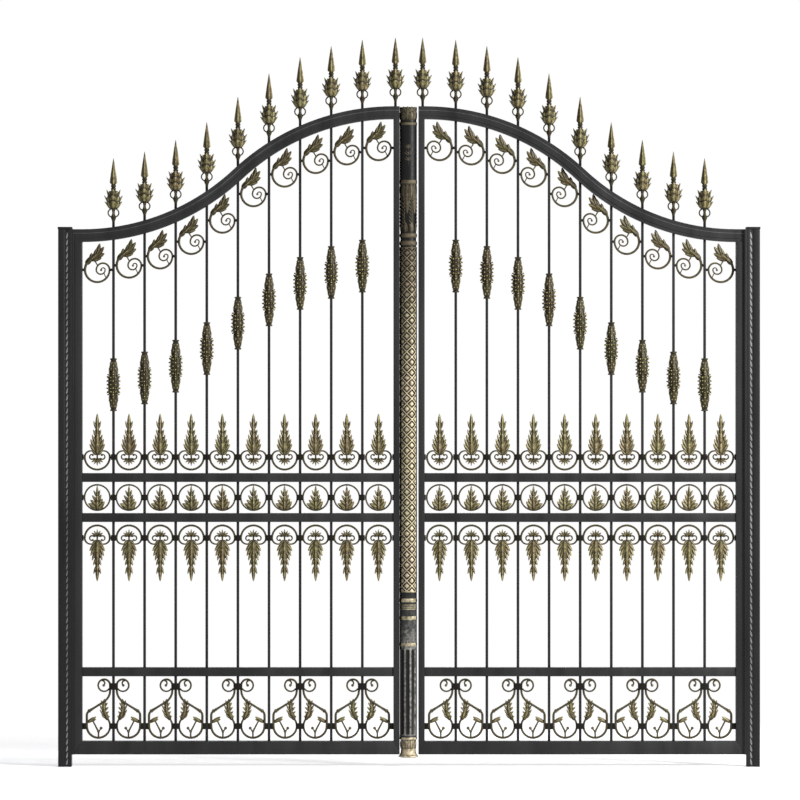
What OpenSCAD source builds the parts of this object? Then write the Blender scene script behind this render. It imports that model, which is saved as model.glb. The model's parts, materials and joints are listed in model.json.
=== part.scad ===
// Double-leaf driveway gate in wrought iron, with both of its posts.
// X runs from the left post to the right one, Y from front to back, Z is up.
// The origin is the centre of the left post's foot.

/* [Posts] */
// Width and depth of each square post
post_w = 60; // [50:5:80]
// Height of each post with its cap
post_h = 2427; // [2300:1:2700]
// Thickness of the plate on top of a post
cap_t = 10; // [3:1:12]
// Overhang of that plate
cap_over = 2; // [0:0.5:3]
// Thickness of the lip that covers the gap between a post and its leaf
lip_t = 3; // [2:0.5:5]
// How far the lip reaches in front of the leaf
lip_cover = 3; // [2:0.5:6]
// Clearance between the lip and the leaf's front
lip_clear = 7; // [6:0.5:10]
// Width of the groove down the front and back of a post, which frames its rope moulding
groove_w = 16; // [10:1:24]
// Depth of that groove
groove_d = 2; // [1:0.5:5]
// Distance from a post's outer face to the middle of the groove
groove_in = 36; // [24:1:40]

/* [Leaf frame] */
// Number of panels between the stiles of one leaf
panels = 10; // [8:2:12]
// Distance between two bars, centre to centre
bar_pitch = 140; // [138:1:150]
// Width of the square bars
bar_w = 12; // [10:1:14]
// Depth of the frame from front to back
leaf_d = 50; // [40:5:60]
// Width of the stile that carries the hinges
hinge_stile_w = 40; // [30:5:60]
// Width of the stile at the middle of the gate
meeting_stile_w = 28; // [24:1:40]
// Gap between a post and its leaf
post_gap = 7; // [6:0.5:10]
// Gap between the centre column and the right leaf
meeting_gap = 5.5; // [5.5:0.5:12]
// Height of the leaves above the ground
ground_gap = 55; // [30:5:90]

/* [Rails] */
// Height of the bottom rail
bottom_rail_h = 60; // [50:5:80]
// Clear height of the panels of S scrolls
kick_h = 291; // [285:1:320]
// Height of each of the three level rails
rail_h = 40; // [30:5:50]
// Depth of each of the three level rails
rail_d = 40; // [30:5:40]
// Clear height between the lowest level rail and the band of rings
lower_h = 654; // [560:2:760]
// Clear height of the band of rings
band_h = 140; // [130:1:170]
// Clear height from the band to the top rail at the hinge side
upper_h = 1040; // [960:5:1160]
// Thickness of the top rail
top_rail_t = 57; // [45:1:65]
// Rise of the top rail from the hinge side to the middle
top_rise = 553; // [400:1:650]
// Depth of the bead that runs along the faces of the frame
bead_d = 3; // [2:0.5:5]

/* [Hinges] */
// Radius of the barrels
barrel_r = 12; // [11:0.5:16]
// Length of one knuckle
knuckle_h = 60; // [40:5:80]
// Radius of the pins
pin_r = 8; // [6:0.5:9]
// Radial clearance of a pin in its knuckle
pin_fit = 0.05; // [0.03:0.01:0.1]
// Gap between the lower and the upper knuckle
knuckle_gap = 0.3; // [0.2:0.1:1]
// Thickness of the tab that welds a knuckle to the frame
tab_t = 8; // [5:1:10]
// Length of that tab
tab_l = 25; // [15:1:35]
// Height of the lowest hinge above the ground
hinge_low = 260; // [200:10:400]
// Height of the middle hinge
hinge_mid = 1150; // [1000:10:1400]
// Height of the highest hinge
hinge_high = 2180; // [1900:10:2220]

/* [Castings] */
// Width of the scroll bar that the castings are bent from
scroll_w = 9; // [7:0.5:10]
// Depth of the scroll bar
scroll_d = 10; // [8:1:12]
// Thickness of the cast leaves
leaf_t = 7; // [5:1:9]
// Height of the collars that join the scrolls to the bars
collar_h = 20; // [14:1:24]
// Height of a spear casting
spear_h = 287; // [260:1:320]
// Length of bare bar between the top rail and a spear
spear_stem = 23; // [10:1:40]
// Height of a basket casting
basket_h = 238; // [220:2:260]
// Distance from the top rail's upper edge down to the middle of a basket
basket_drop = 709; // [600:1:760]
// Distance from the top rail's upper edge down to the middle of a leaf scroll
scroll_drop = 184.5; // [180:0.5:220]

/* [Centre column] */
// Radius of the rings, which are the widest parts of the column
column_r = 40; // [36:1:44]
// How far the rings stand out from the tube
ring_proud = 1.5; // [1.5:0.5:4]
// Depth of the cast sleeves that the tube wears, which are sunk into it
relief_d = 6.5; // [5:0.5:9]
// Width of the flat where a ring is welded to the stile, as the depth cut off
column_flat = 1; // [0.5:0.5:1]
// Radius of the disc at the column's foot
foot_r = 44.5; // [42:0.5:44.5]
// Thickness of that disc
foot_t = 9; // [6:1:9]
// Height of the column's foot above the ground
column_gap = 41; // [20:1:41]
// Height of the cast base
base_h = 91; // [80:1:110]
// Height of the capital
capital_h = 70; // [60:1:80]
// Number of flutes round the lower shaft
flutes = 9; // [8:1:12]
// Number of diamonds round the lattice
around = 5; // [5:1:7]
// Height of one diamond
diamond_h = 47; // [40:1:60]

/* [Hidden] */
$fn = 48;

// Frame lines along X, from the left post's centre
leaf_x = post_w / 2 + post_gap;
open_x = leaf_x + hinge_stile_w;
run = panels * bar_pitch;
close_x = open_x + run;
stile_x = close_x + meeting_stile_w;
column_x = stile_x + column_r - column_flat;
span = column_x + column_r + meeting_gap + stile_x;
leaf_y = post_w / 2 - leaf_d / 2;

// Frame lines along Z
kick_z = ground_gap + bottom_rail_h;
kick_rail_z = kick_z + kick_h;
lower_z = kick_rail_z + rail_h;
middle_rail_z = lower_z + lower_h;
band_z = middle_rail_z + rail_h;
upper_rail_z = band_z + band_h;
upper_z = upper_rail_z + rail_h;
top_rail_z = upper_z + upper_h;

// The top rail is an S of two equal arcs, level at both ends
top_mid_z = top_rail_z + top_rail_t / 2;
top_r = (run * run + top_rise * top_rise) / (4 * top_rise);
top_a = 2 * atan(top_rise / run);
top_fn = 600;

// Height of the top rail's upper edge over a point at x
function rail_top(x) =
    let (u = x - open_x, r = top_r - top_rail_t / 2, s = top_r + top_rail_t / 2)
    u <= 0 ? top_rail_z + top_rail_t :
    u >= run ? top_rail_z + top_rail_t + top_rise :
    u < r * sin(top_a) ? top_mid_z + top_r - sqrt(r * r - u * u) :
    top_mid_z + top_rise - top_r + sqrt(s * s - (run - u) * (run - u));

// The bars stand between panels, and the end panels reach to the stiles
function bar_x(i) = open_x + i * bar_pitch;
function panel_left(i) = i == 0 ? open_x : bar_x(i) + bar_w / 2;
function panel_right(i) = i == panels - 1 ? close_x : bar_x(i + 1) - bar_w / 2;
function panel_x(i) = (panel_left(i) + panel_right(i)) / 2;

// Hinge axis, behind the gap between post and leaf
hinge_x = post_w / 2 + post_gap / 2;
hinge_y = post_w / 2 + barrel_r;
hinge_levels = [hinge_low, hinge_mid, hinge_high];

// Castings that stand in a panel
ring_r = bar_pitch / 2 - bar_w / 2 - 3 - scroll_w / 2;
finial_gap = 11;

iron = "#3a3a3c";
gold = "#7d7048";

// Shared shapes

// Copies a left-hand piece to the right-hand side of the gate
module mirrored() {
    translate([span, 0, 0]) mirror([1, 0, 0]) children();
}

// Stands a piece drawn in the XY plane up in the leaf's middle plane
module stand() {
    translate([0, leaf_y, 0]) rotate([90, 0, 0]) children();
}

// Gives an outline an even thickness about its own plane
module plate(t) {
    linear_extrude(height = t, center = true) children();
}

// Square scroll bar bent to an arc about the origin
module bend(r, from, to, w = scroll_w, d = scroll_d) {
    rotate([0, 0, from])
        rotate_extrude(angle = to - from)
            translate([r, 0]) square([w, d], center = true);
}

// Straight scroll bar between two points
module strut(a, b, w = scroll_w, d = scroll_d) {
    l = norm(b - a);
    translate([a[0], a[1], 0])
        rotate([0, 0, atan2(b[1] - a[1], b[0] - a[0])])
            translate([0, -w / 2, -d / 2]) cube([l, w, d]);
}

// Outline of an upright leaf with paired points, each [height, half width, height of the notch above, half width there]
function tiered(foot, tiers, tip) = concat(
    [[foot[1], foot[0]]],
    [for (t = tiers) each [[t[1], t[0]], [t[3], t[2]]]],
    [[0, tip]],
    [for (i = [len(tiers) - 1:-1:0]) each [[-tiers[i][3], tiers[i][2]], [-tiers[i][1], tiers[i][0]]]],
    [[-foot[1], foot[0]]]
);

// Collar that joins a casting's edge to the bars beside it, at a height in the standing plane
module side_collars(i, reach, z, h = collar_h) {
    left = panel_left(i) - panel_x(i);
    right = panel_right(i) - panel_x(i);
    for (s = [[left, -reach], [reach, right]])
        translate([s[0], z - h / 2, -scroll_d / 2 - 1]) cube([s[1] - s[0], h, scroll_d + 2]);
}

// Posts

module post() {
    color(iron) difference() {
        translate([-post_w / 2, -post_w / 2, 0]) cube([post_w, post_w, post_h - cap_t]);
        for (y = [-post_w / 2, post_w / 2])
            translate([groove_in - post_w / 2 - groove_w / 2, y - groove_d, -1])
                cube([groove_w, 2 * groove_d, post_h]);
    }
}

module post_cap() {
    side = post_w + 2 * cap_over;
    color(iron) translate([-side / 2, -side / 2, post_h - cap_t])
        cube([side, side, cap_t]);
}

// Flat bar down the front edge, with a return to the post where the leaf is as deep as the post
module post_lip() {
    back = min(lip_t - post_w / 2, leaf_y - leaf_d / 2 - lip_clear);
    low = ground_gap;
    high = min(top_rail_z + top_rail_t, post_h - cap_t);
    color(iron) translate([post_w / 2, back - lip_t, low]) {
        cube([post_gap + lip_cover, lip_t, high - low]);
        cube([lip_t, lip_t - post_w / 2 - back + lip_t, high - low]);
    }
}

// Hinges

// Barrel with one end tapered to a button
module barrel(h) {
    taper = barrel_r / 2;
    rotate_extrude() polygon([
        [0, 0], [barrel_r, 0], [barrel_r, h - taper], [barrel_r - taper, h], [0, h]
    ]);
}

// Lower knuckles with their pins, welded to the post
module hinge_pins() {
    color(iron) for (z = hinge_levels) translate([hinge_x, hinge_y, z]) {
        translate([0, 0, knuckle_h]) mirror([0, 0, 1]) barrel(knuckle_h);
        cylinder(r = pin_r, h = 2 * knuckle_h - barrel_r);
        translate([-tab_l, -barrel_r, barrel_r / 2])
            cube([tab_l, tab_t, knuckle_h - barrel_r / 2]);
    }
}

// Upper knuckles, welded to the leaf
module hinge_knuckles() {
    color(iron) for (z = hinge_levels)
        translate([hinge_x, hinge_y, z + knuckle_h + knuckle_gap]) difference() {
            union() {
                barrel(knuckle_h);
                translate([0, -barrel_r, 0]) cube([tab_l, tab_t, knuckle_h - barrel_r / 2]);
            }
            translate([0, 0, -1])
                cylinder(r = pin_r + pin_fit, h = knuckle_h - barrel_r + 2);
        }
}

// Frame of a leaf

module hinge_stile() {
    color(iron) stand() plate(leaf_d) polygon([
        [leaf_x, ground_gap], [open_x, kick_z], [open_x, top_rail_z], [leaf_x, top_rail_z]
    ]);
}

module meeting_stile() {
    top = top_rail_z + top_rise;
    color(iron) stand() plate(leaf_d) polygon([
        [close_x, kick_z], [stile_x, ground_gap], [stile_x, top], [close_x, top]
    ]);
}

module bottom_rail() {
    color(iron) stand() plate(leaf_d) polygon([
        [leaf_x, ground_gap], [stile_x, ground_gap], [close_x, kick_z], [open_x, kick_z]
    ]);
}

module level_rail(z) {
    color(iron) translate([open_x, leaf_y - rail_d / 2, z]) cube([run, rail_d, rail_h]);
}

// Section of the top rail, with a bead along both faces; the first coordinate runs down from the upper edge
module rail_section() {
    h = leaf_d / 2;
    t = top_rail_t;
    b = t * 0.62;
    polygon([
        [0, -h + bead_d], [b, -h + bead_d], [b, -h], [b + 2 * bead_d, -h],
        [b + 2 * bead_d, -h + bead_d], [t, -h + bead_d],
        [t, h - bead_d], [b + 2 * bead_d, h - bead_d], [b + 2 * bead_d, h],
        [b, h], [b, h - bead_d], [0, h - bead_d]
    ]);
}

// The rail's body, drawn in the XY plane
module top_rail_body() {
    translate([open_x, top_mid_z + top_r, 0]) rotate([0, 0, 270])
        rotate_extrude(angle = top_a, $fn = top_fn)
            translate([top_r - top_rail_t / 2, 0]) rail_section();
    translate([close_x, top_mid_z + top_rise - top_r, 0]) rotate([0, 0, 90])
        rotate_extrude(angle = top_a, $fn = top_fn)
            translate([top_r + top_rail_t / 2, 0]) mirror([1, 0]) rail_section();
    for (s = [[leaf_x, open_x, 0], [close_x, stile_x, top_rise]])
        translate([s[0], top_rail_z + top_rail_t + s[2], 0])
            rotate([-90, 0, 0]) rotate([0, 90, 0])
                linear_extrude(height = s[1] - s[0]) rail_section();
}

module top_rail() {
    color(iron) stand() top_rail_body();
}

module bar(x, from, to) {
    translate([x - bar_w / 2, leaf_y - bar_w / 2, from]) cube([bar_w, bar_w, to - from]);
}

module bars() {
    color(iron) {
        for (i = [1:panels - 1]) {
            bar(bar_x(i), kick_z, kick_rail_z);
            bar(bar_x(i), lower_z, middle_rail_z);
            bar(bar_x(i), band_z, upper_rail_z);
            bar(bar_x(i), upper_z, rail_top(bar_x(i)) - basket_drop - basket_h / 2);
        }
        difference() {
            for (i = [1:panels - 1])
                bar(bar_x(i), rail_top(bar_x(i)) - basket_drop + basket_h / 2, rail_top(bar_x(i)) - top_rail_t / 2);
            stand() top_rail_body();
        }
    }
}

// Castings

// One side of a spear's leafy body, from its foot to its neck
spear_leaf = [
    [10, 61], [28, 72], [38, 84], [42, 95], [34, 97], [33, 104], [41, 119],
    [30, 114], [25, 122], [31, 144], [21, 139], [14, 132]
];

// Both sides of an outline given as its right-hand points, from bottom to top
function both_sides(half) = concat(
    half, [for (i = [len(half) - 1:-1:0]) [-half[i][0], half[i][1]]]
);

module spear() {
    blade_z = 169;
    shoulder = 8;
    rotate_extrude() polygon([
        [0, 0], [bar_w / 2 + 1, 0], [12, 23], [5, 40], [10, 61], [18, 88], [18, 110], [10, 144],
        [12, 148], [12, 153], [9, 156], [12, 160], [12, blade_z], [0, blade_z]
    ]);
    for (a = [0, 90]) rotate([0, 0, a]) rotate([90, 0, 0]) {
        plate(leaf_t - 2) polygon(both_sides(spear_leaf));
        for (s = [0, 1]) mirror([s, 0, 0]) translate([6, 42, 0]) bend(18.5, -78, 72, 4, 4);
    }
    translate([0, 0, blade_z]) cylinder(r1 = 11, r2 = 16.5, h = shoulder, $fn = 4);
    translate([0, 0, blade_z + shoulder])
        cylinder(r1 = 16.5, r2 = 0.6, h = spear_h - blade_z - shoulder, $fn = 4);
}

module spears() {
    places = concat([for (i = [1:panels - 1]) bar_x(i)], [close_x + 9]);
    color(gold) {
        for (x = places)
            translate([x, leaf_y, rail_top(x) + spear_stem]) spear();
        difference() {
            for (x = places) bar(x, rail_top(x) - top_rail_t / 2, rail_top(x) + spear_stem);
            stand() top_rail_body();
        }
    }
}

module basket() {
    half = basket_h / 2;
    rotate_extrude() polygon([
        [0, -half], [15, -half], [15, -half + 5], [12, -half + 9], [21, -32], [25, -20],
        [26, 0], [25, 20], [21, 32], [12, half - 9], [15, half - 5], [15, half], [0, half]
    ]);
    for (row = [[-32, 32], [0, 35], [32, 32]])
        translate([0, 0, row[0]]) plate(7) polygon([
            for (k = [0:15]) (k % 2 == 0 ? row[1] : 23) * [cos(22.5 * k), sin(22.5 * k)]
        ]);
}

module baskets() {
    color(gold) for (i = [1:panels - 1])
        translate([bar_x(i), leaf_y, rail_top(bar_x(i)) - basket_drop]) basket();
}

// Acanthus leaf that rises from the scroll's shoulder
scroll_leaf = [
    [-52, 30], [-40, 51], [-27, 61], [-24, 78], [-19, 80], [-14, 70], [-3, 79], [-2, 95],
    [5, 89], [15, 89], [17, 113], [24, 105], [33, 96], [28, 68], [18, 53], [5, 48],
    [-3, 44], [-10, 36], [-33, 34]
];

// The bar winds inwards in half turns, each thinner than the last, to a rolled end
module leaf_scroll() {
    r = 55.5;
    turn_r = [30, 20, 9];
    bend(r, 140, 360);
    translate([r - turn_r[0], 0, 0]) bend(turn_r[0], 0, 180, 7, 8);
    translate([r - 2 * turn_r[0] + turn_r[1], 0, 0]) bend(turn_r[1], 180, 360, 6, 7);
    translate([r - 2 * turn_r[0] + 2 * turn_r[1] - turn_r[2], 0, 0]) {
        bend(turn_r[2], 0, 190, 5, 6);
        translate([-turn_r[2], -1, 0]) cylinder(r = 5, h = leaf_t, center = true);
    }
    // ties from the ring and from the leaf's foot to the spiral
    strut([29, -14], [41, -38], 5, 6.5);
    strut([-13, 43], [2, 19], 6, 7.5);
    plate(leaf_t) polygon(scroll_leaf);
}

module leaf_scrolls() {
    color(gold) stand() for (i = [0:panels - 1])
        translate([panel_x(i), rail_top(panel_x(i)) - scroll_drop, 0]) {
            leaf_scroll();
            side_collars(i, 55.5 + scroll_w / 4, 0, 12);
        }
}

finial_leaf = tiered([88, 7], [
    [100, 29, 103, 23], [130, 37, 133, 29], [150, 33, 153, 25], [172, 27, 168, 13],
    [193, 19, 189, 11], [233, 19, 226, 8]
], 268);
finial_star = [
    [0, 35], [4, 50], [14, 39], [12, 54], [27, 48], [21, 66], [6, 69], [0, 71],
    [-6, 69], [-21, 66], [-27, 48], [-12, 54], [-14, 39], [-4, 50]
];

// Finial in an open C scroll, drawn upwards from the rail that it faces
module finial() {
    arm_r = 28;
    z = finial_gap + scroll_w / 2 + ring_r;
    translate([0, z, 0]) {
        bend(ring_r, 180, 360);
        for (s = [0, 1]) mirror([s, 0, 0])
            translate([ring_r - arm_r, 0, 0]) bend(arm_r, 0, 140);
    }
    hook_r = 11;
    hook_end = 112;
    for (s = [0, 1]) mirror([s, 0, 0])
        translate([24.5, 72.5, 0]) {
            bend(hook_r, -140, hook_end, 5, leaf_t);
            translate(hook_r * [cos(hook_end), sin(hook_end)])
                cylinder(r = 4.5, h = leaf_t - 1, center = true);
        }
    plate(leaf_t) polygon(finial_leaf);
    plate(leaf_t) polygon(finial_star);
    strut([0, 60], [0, 100], 8, 8);
}

module finials() {
    for (i = [0:panels - 1]) translate([panel_x(i), 0, 0]) {
        finial();
        side_collars(i, ring_r + scroll_w / 4, finial_gap + scroll_w / 2 + ring_r);
    }
}

module crest_finials() {
    color(gold) stand() translate([0, upper_z, 0]) finials();
}

module pendant_finials() {
    color(gold) stand() translate([0, middle_rail_z, 0]) mirror([0, 1, 0]) finials();
}

ring_leaf = tiered([-54, 22], [
    [-25, 37, -29, 20], [-4, 27, -9, 14], [13, 20, 8, 9], [34, 11.5, 28, 5]
], 55);

module rings() {
    color(gold) stand() for (i = [0:panels - 1])
        translate([panel_x(i), band_z + band_h / 2, 0]) {
            rotate_extrude() translate([ring_r, 0]) square([scroll_w, scroll_d], center = true);
            plate(leaf_t) polygon(ring_leaf);
            side_collars(i, ring_r + scroll_w / 4, 0);
        }
}

// S scroll on the left of the bar that a pair shares; the bar stands at x = 0 and the rail below at z = 0
kick_side = 15;
kick_ring_r = 52.5;
kick_curl_r = 27;
kick_lean = 58;
kick_leaf = [
    [-26, 93], [-33, 104], [-44, 112], [-52, 122], [-58, 140], [-55, 158], [-50, 168],
    [-47, 178], [-41, 184], [-30, 182], [-38, 174], [-28, 166], [-37, 157], [-27, 150],
    [-35, 142], [-26, 130], [-33, 120], [-24, 106]
];
// The sprout, drawn about the middle of the scroll's ring
kick_sprout = [
    [-3.5, -50], [3.5, -50], [3.5, -30], [12, -14], [7, -9], [0, -18], [-24, 30], [-31, 26],
    [-5, -22]
];
kick_sprout_leaf = [[-47, 24], [-34, 34], [-20, 42], [-12, 34], [-22, 26], [-34, 22]];

module kick_scroll() {
    far_x = -kick_side - 2 * kick_ring_r;
    mid_x = -kick_side - kick_ring_r;
    ring_z = 9 + scroll_w / 2 + kick_ring_r;
    curl_z = kick_h - 10 - scroll_w / 2 - kick_curl_r;
    neck_r = 60;
    low_r = 24;
    neck_z = curl_z - 23;
    a = [-kick_side - neck_r * (1 - cos(kick_lean)), neck_z - neck_r * sin(kick_lean)];
    b_x = far_x + low_r * (1 - cos(kick_lean));
    b = [b_x, a[1] - (a[0] - b_x) / tan(kick_lean)];
    low_z = round(b[1] - low_r * sin(kick_lean));
    along = (b - a) / norm(b - a);
    translate([mid_x, ring_z, 0]) bend(kick_ring_r, 150, 395);
    strut([far_x, ring_z], [far_x, low_z]);
    translate([far_x + low_r, low_z, 0]) bend(low_r, 180, 180 - kick_lean);
    strut(b - along, a + along);
    translate([-kick_side - neck_r, neck_z, 0]) bend(neck_r, 0, -kick_lean);
    strut([-kick_side, neck_z], [-kick_side, curl_z]);
    // knots that cover the ends of the straight stretch
    translate([b[0], b[1], 0]) cylinder(r = 9, h = scroll_d + 2, center = true);
    translate([a[0], a[1], 0]) cylinder(r = 7, h = scroll_d + 2, center = true);
    translate([-kick_side - kick_curl_r, curl_z, 0]) bend(kick_curl_r, 0, 320, 8);
    translate([-kick_side - kick_curl_r, curl_z, 0]) {
        strut([-kick_curl_r * cos(45), kick_curl_r * sin(45)], [4, -6], 5, 8);
        translate([4, -6, 0]) cylinder(r = 6, h = 8, center = true);
    }
    plate(leaf_t) polygon(kick_leaf);
    // sprout that grows up inside the ring, with its leaf and its bead
    translate([mid_x, ring_z, 0]) {
        plate(leaf_t) polygon(kick_sprout);
        plate(leaf_t + 1) polygon(kick_sprout_leaf);
        translate([9, -10, 0]) cylinder(r = 5.5, h = leaf_t + 1, center = true);
    }
    // collars to the shared bar
    for (z = [ring_z, curl_z - 7])
        translate([-kick_side - scroll_w / 4, z - collar_h / 2, -scroll_d / 2 - 1])
            cube([kick_side + scroll_w / 4 - bar_w / 2, collar_h, scroll_d + 2]);
}

module kick_scrolls() {
    far = kick_side + 2 * kick_ring_r + scroll_w / 4;
    block_z = 9 + scroll_w / 2 + kick_ring_r;
    color(gold) stand() translate([0, kick_z, 0])
        for (i = [1:2:panels - 1]) translate([bar_x(i), 0, 0]) {
            for (s = [0, 1]) mirror([s, 0, 0]) kick_scroll();
            left = (i == 1 ? open_x : bar_x(i - 1) + bar_w / 2) - bar_x(i);
            right = (i == panels - 1 ? close_x : bar_x(i + 1) - bar_w / 2) - bar_x(i);
            for (s = [[left, -far], [far, right]])
                translate([s[0], block_z - 14, -scroll_d / 2 - 1])
                    cube([s[1] - s[0], 28, scroll_d + 2]);
        }
}

// Centre column, welded to the left leaf's meeting stile at its rings

tube_r = column_r - ring_proud;
core_r = tube_r - relief_d;
column_top = top_rail_z + top_rise + top_rail_t;
tube_top = column_top - capital_h;
shaft_low = column_gap + base_h;
shaft_high = 540;
lattice_low = 790;
lattice_high = 2333;
leaves_low = 2405;
leaves_high = 2618;

// Keeps a piece of the column on its own side of the stile's face
module beside_stile() {
    intersection() {
        translate([column_x, leaf_y, 0]) children();
        translate([stile_x, leaf_y - 100, 0]) cube([200, 200, column_top + 10]);
    }
}

// Pointed leaves round the column, from their foot to their tip
module leaf_ring(n, r_in, r_out, w, foot, tip) {
    shoulder = foot + 0.6 * (tip - foot);
    for (k = [0:n - 1]) rotate([0, 0, 360 * k / n])
        translate([0, -r_in, 0]) rotate([90, 0, 0]) linear_extrude(height = r_out - r_in)
            polygon([[-w / 3, foot], [-w / 2, shoulder], [0, tip], [w / 2, shoulder], [w / 3, foot]]);
}

// Tube with a fluted lower shaft, thinner where it wears a cast sleeve or leaves
module column_tube() {
    flute_r = 14;
    flute_d = 5.5;
    flute_turn = 285;
    flute_end = 12;
    color(iron) translate([column_x, leaf_y, 0]) difference() {
        rotate_extrude() polygon([
            [0, shaft_low], [tube_r, shaft_low], [tube_r, lattice_low], [core_r, lattice_low],
            [core_r, leaves_high], [tube_r, leaves_high], [tube_r, tube_top], [0, tube_top]
        ]);
        for (k = [0:flutes - 1]) rotate([0, 0, flute_turn + 360 * (k + 0.5) / flutes])
            translate([tube_r + flute_r - flute_d, 0, shaft_low + flute_end])
                cylinder(r = flute_r, h = shaft_high - shaft_low - 2 * flute_end);
    }
}

// Ring with a half-round bead between two steps, about a tube of the given radius
module column_ring(h, inner, step_r) {
    rise = 0.34 * h;
    rotate_extrude() polygon(concat(
        [[inner, 0], [step_r, 0]],
        [for (a = [0:30:180]) [step_r + (column_r - step_r) * sin(a), h / 2 - rise * cos(a)]],
        [[step_r, h], [inner, h]]
    ));
}

// Rings, each [top, height, radius of its steps, radius inside], and the long leaves between two of them
module column_rings() {
    flat_step = column_r - 1;
    bulb_step = core_r + 3;
    levels = [
        [tube_top, 18, flat_step, tube_r],
        [leaves_high + 24, 24, flat_step, tube_r],
        [leaves_low, 32, bulb_step, core_r],
        [leaves_low - 34, 34, bulb_step, core_r],
        [lattice_low - 30, 24, flat_step, tube_r],
        [lattice_low - 110, 24, flat_step, tube_r],
        [shaft_high + 20, 20, flat_step, tube_r]
    ];
    color(gold) {
        for (l = levels) beside_stile() translate([0, 0, l[0] - l[1]]) column_ring(l[1], l[3], l[2]);
        beside_stile() difference() {
            union() {
                leaf_ring(8, core_r - 3, core_r + 5, 22, leaves_high, leaves_high - 130);
                leaf_ring(8, core_r - 3, core_r + 3, 18, leaves_low - 2, leaves_low + 60);
            }
            translate([0, 0, leaves_low - 3]) cylinder(r = core_r, h = leaves_high - leaves_low + 4);
        }
    }
}

// Sleeve whose ribs cross on its outer radius, with every diamond between them sunk
module quilted_sleeve(h, rib_r, sunk_r, bore_r) {
    sides = 2 * around;
    levels = 2 * round(h / diamond_h);
    outer = [for (j = [0:levels], i = [0:sides - 1])
        let (r = (i + j) % 2 == 0 ? rib_r : sunk_r, a = 360 * i / sides)
        [r * cos(a), r * sin(a), h * j / levels]];
    bore = [for (z = [0, h], i = [0:sides - 1])
        let (a = 360 * i / sides) [bore_r * cos(a), bore_r * sin(a), z]];
    first = len(outer);
    top = levels * sides;
    cells = [for (j = [0:levels - 1], i = [0:sides - 1])
        let (a = j * sides + i, b = j * sides + (i + 1) % sides, c = b + sides, d = a + sides)
        each (i + j) % 2 == 0 ? [[a, c, b], [a, d, c]] : [[a, d, b], [b, d, c]]];
    ends = [for (i = [0:sides - 1])
        let (k = (i + 1) % sides)
        each [
            [i, k, first + k, first + i],
            [top + i, first + sides + i, first + sides + k, top + k],
            [first + k, first + sides + k, first + sides + i, first + i]
        ]];
    polyhedron(points = concat(outer, bore), faces = concat(cells, ends));
}

module column_lattice() {
    sleeve_fit = 0.3;
    lattice_turn = 7;
    bore_r = (core_r + sleeve_fit) / cos(90 / around);
    color(gold) translate([column_x, leaf_y, lattice_low]) rotate([0, 0, lattice_turn])
        quilted_sleeve(lattice_high - lattice_low, column_r - 0.5, bore_r + 1.5, bore_r);
}

// Bell that widens from its ring to a rolled rim, wrapped in leaves
module column_capital() {
    h = capital_h;
    color(gold) beside_stile() translate([0, 0, tube_top]) {
        rotate_extrude() polygon([
            [0, 0], [core_r + 1, 0], [core_r - 2, 8], [core_r - 2, h - 32], [core_r + 1, h - 20],
            [column_r - 2, h - 11], [column_r, h - 8], [column_r, h - 3], [column_r - 2, h], [0, h]
        ]);
        leaf_ring(8, core_r - 6, core_r + 4, 21, 3, h - 14);
    }
}

// Disc, flare and a band of leaves that carry the shaft
module column_base() {
    h = base_h;
    color(gold) {
        translate([column_x, leaf_y, column_gap]) rotate_extrude() polygon([
            [0, 0], [foot_r - 3, 0], [foot_r, 2], [foot_r, foot_t - 2], [foot_r - 2, foot_t], [0, foot_t]
        ]);
        beside_stile() translate([0, 0, column_gap]) {
            rotate_extrude() polygon([
                [0, foot_t], [column_r - 0.5, foot_t], [core_r + 4, foot_t + 11], [core_r + 2, foot_t + 33],
                [core_r + 2, h - 11], [tube_r, h - 11], [tube_r + 1, h - 9], [tube_r + 1, h - 2],
                [tube_r, h], [0, h]
            ]);
            leaf_ring(flutes, core_r - 4, core_r + 4, 19, foot_t + 35, h - 13);
        }
    }
}

post();  // left_post
mirrored() post();  // right_post
post_cap();  // left_post_cap
mirrored() post_cap();  // right_post_cap
post_lip();  // left_post_lip
mirrored() post_lip();  // right_post_lip
hinge_pins();  // left_hinge_pins
mirrored() hinge_pins();  // right_hinge_pins
hinge_knuckles();  // left_hinge_knuckles
mirrored() hinge_knuckles();  // right_hinge_knuckles
hinge_stile();  // left_hinge_stile
mirrored() hinge_stile();  // right_hinge_stile
meeting_stile();  // left_meeting_stile
mirrored() meeting_stile();  // right_meeting_stile
top_rail();  // left_top_rail
mirrored() top_rail();  // right_top_rail
level_rail(upper_rail_z);  // left_upper_rail
mirrored() level_rail(upper_rail_z);  // right_upper_rail
level_rail(middle_rail_z);  // left_middle_rail
mirrored() level_rail(middle_rail_z);  // right_middle_rail
level_rail(kick_rail_z);  // left_kick_rail
mirrored() level_rail(kick_rail_z);  // right_kick_rail
bottom_rail();  // left_bottom_rail
mirrored() bottom_rail();  // right_bottom_rail
bars();  // left_bars
mirrored() bars();  // right_bars
spears();  // left_spears
mirrored() spears();  // right_spears
baskets();  // left_baskets
mirrored() baskets();  // right_baskets
leaf_scrolls();  // left_leaf_scrolls
mirrored() leaf_scrolls();  // right_leaf_scrolls
crest_finials();  // left_crest_finials
mirrored() crest_finials();  // right_crest_finials
rings();  // left_rings
mirrored() rings();  // right_rings
pendant_finials();  // left_pendant_finials
mirrored() pendant_finials();  // right_pendant_finials
kick_scrolls();  // left_kick_scrolls
mirrored() kick_scrolls();  // right_kick_scrolls
column_tube();
column_capital();
column_lattice();
column_rings();
column_base();
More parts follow.
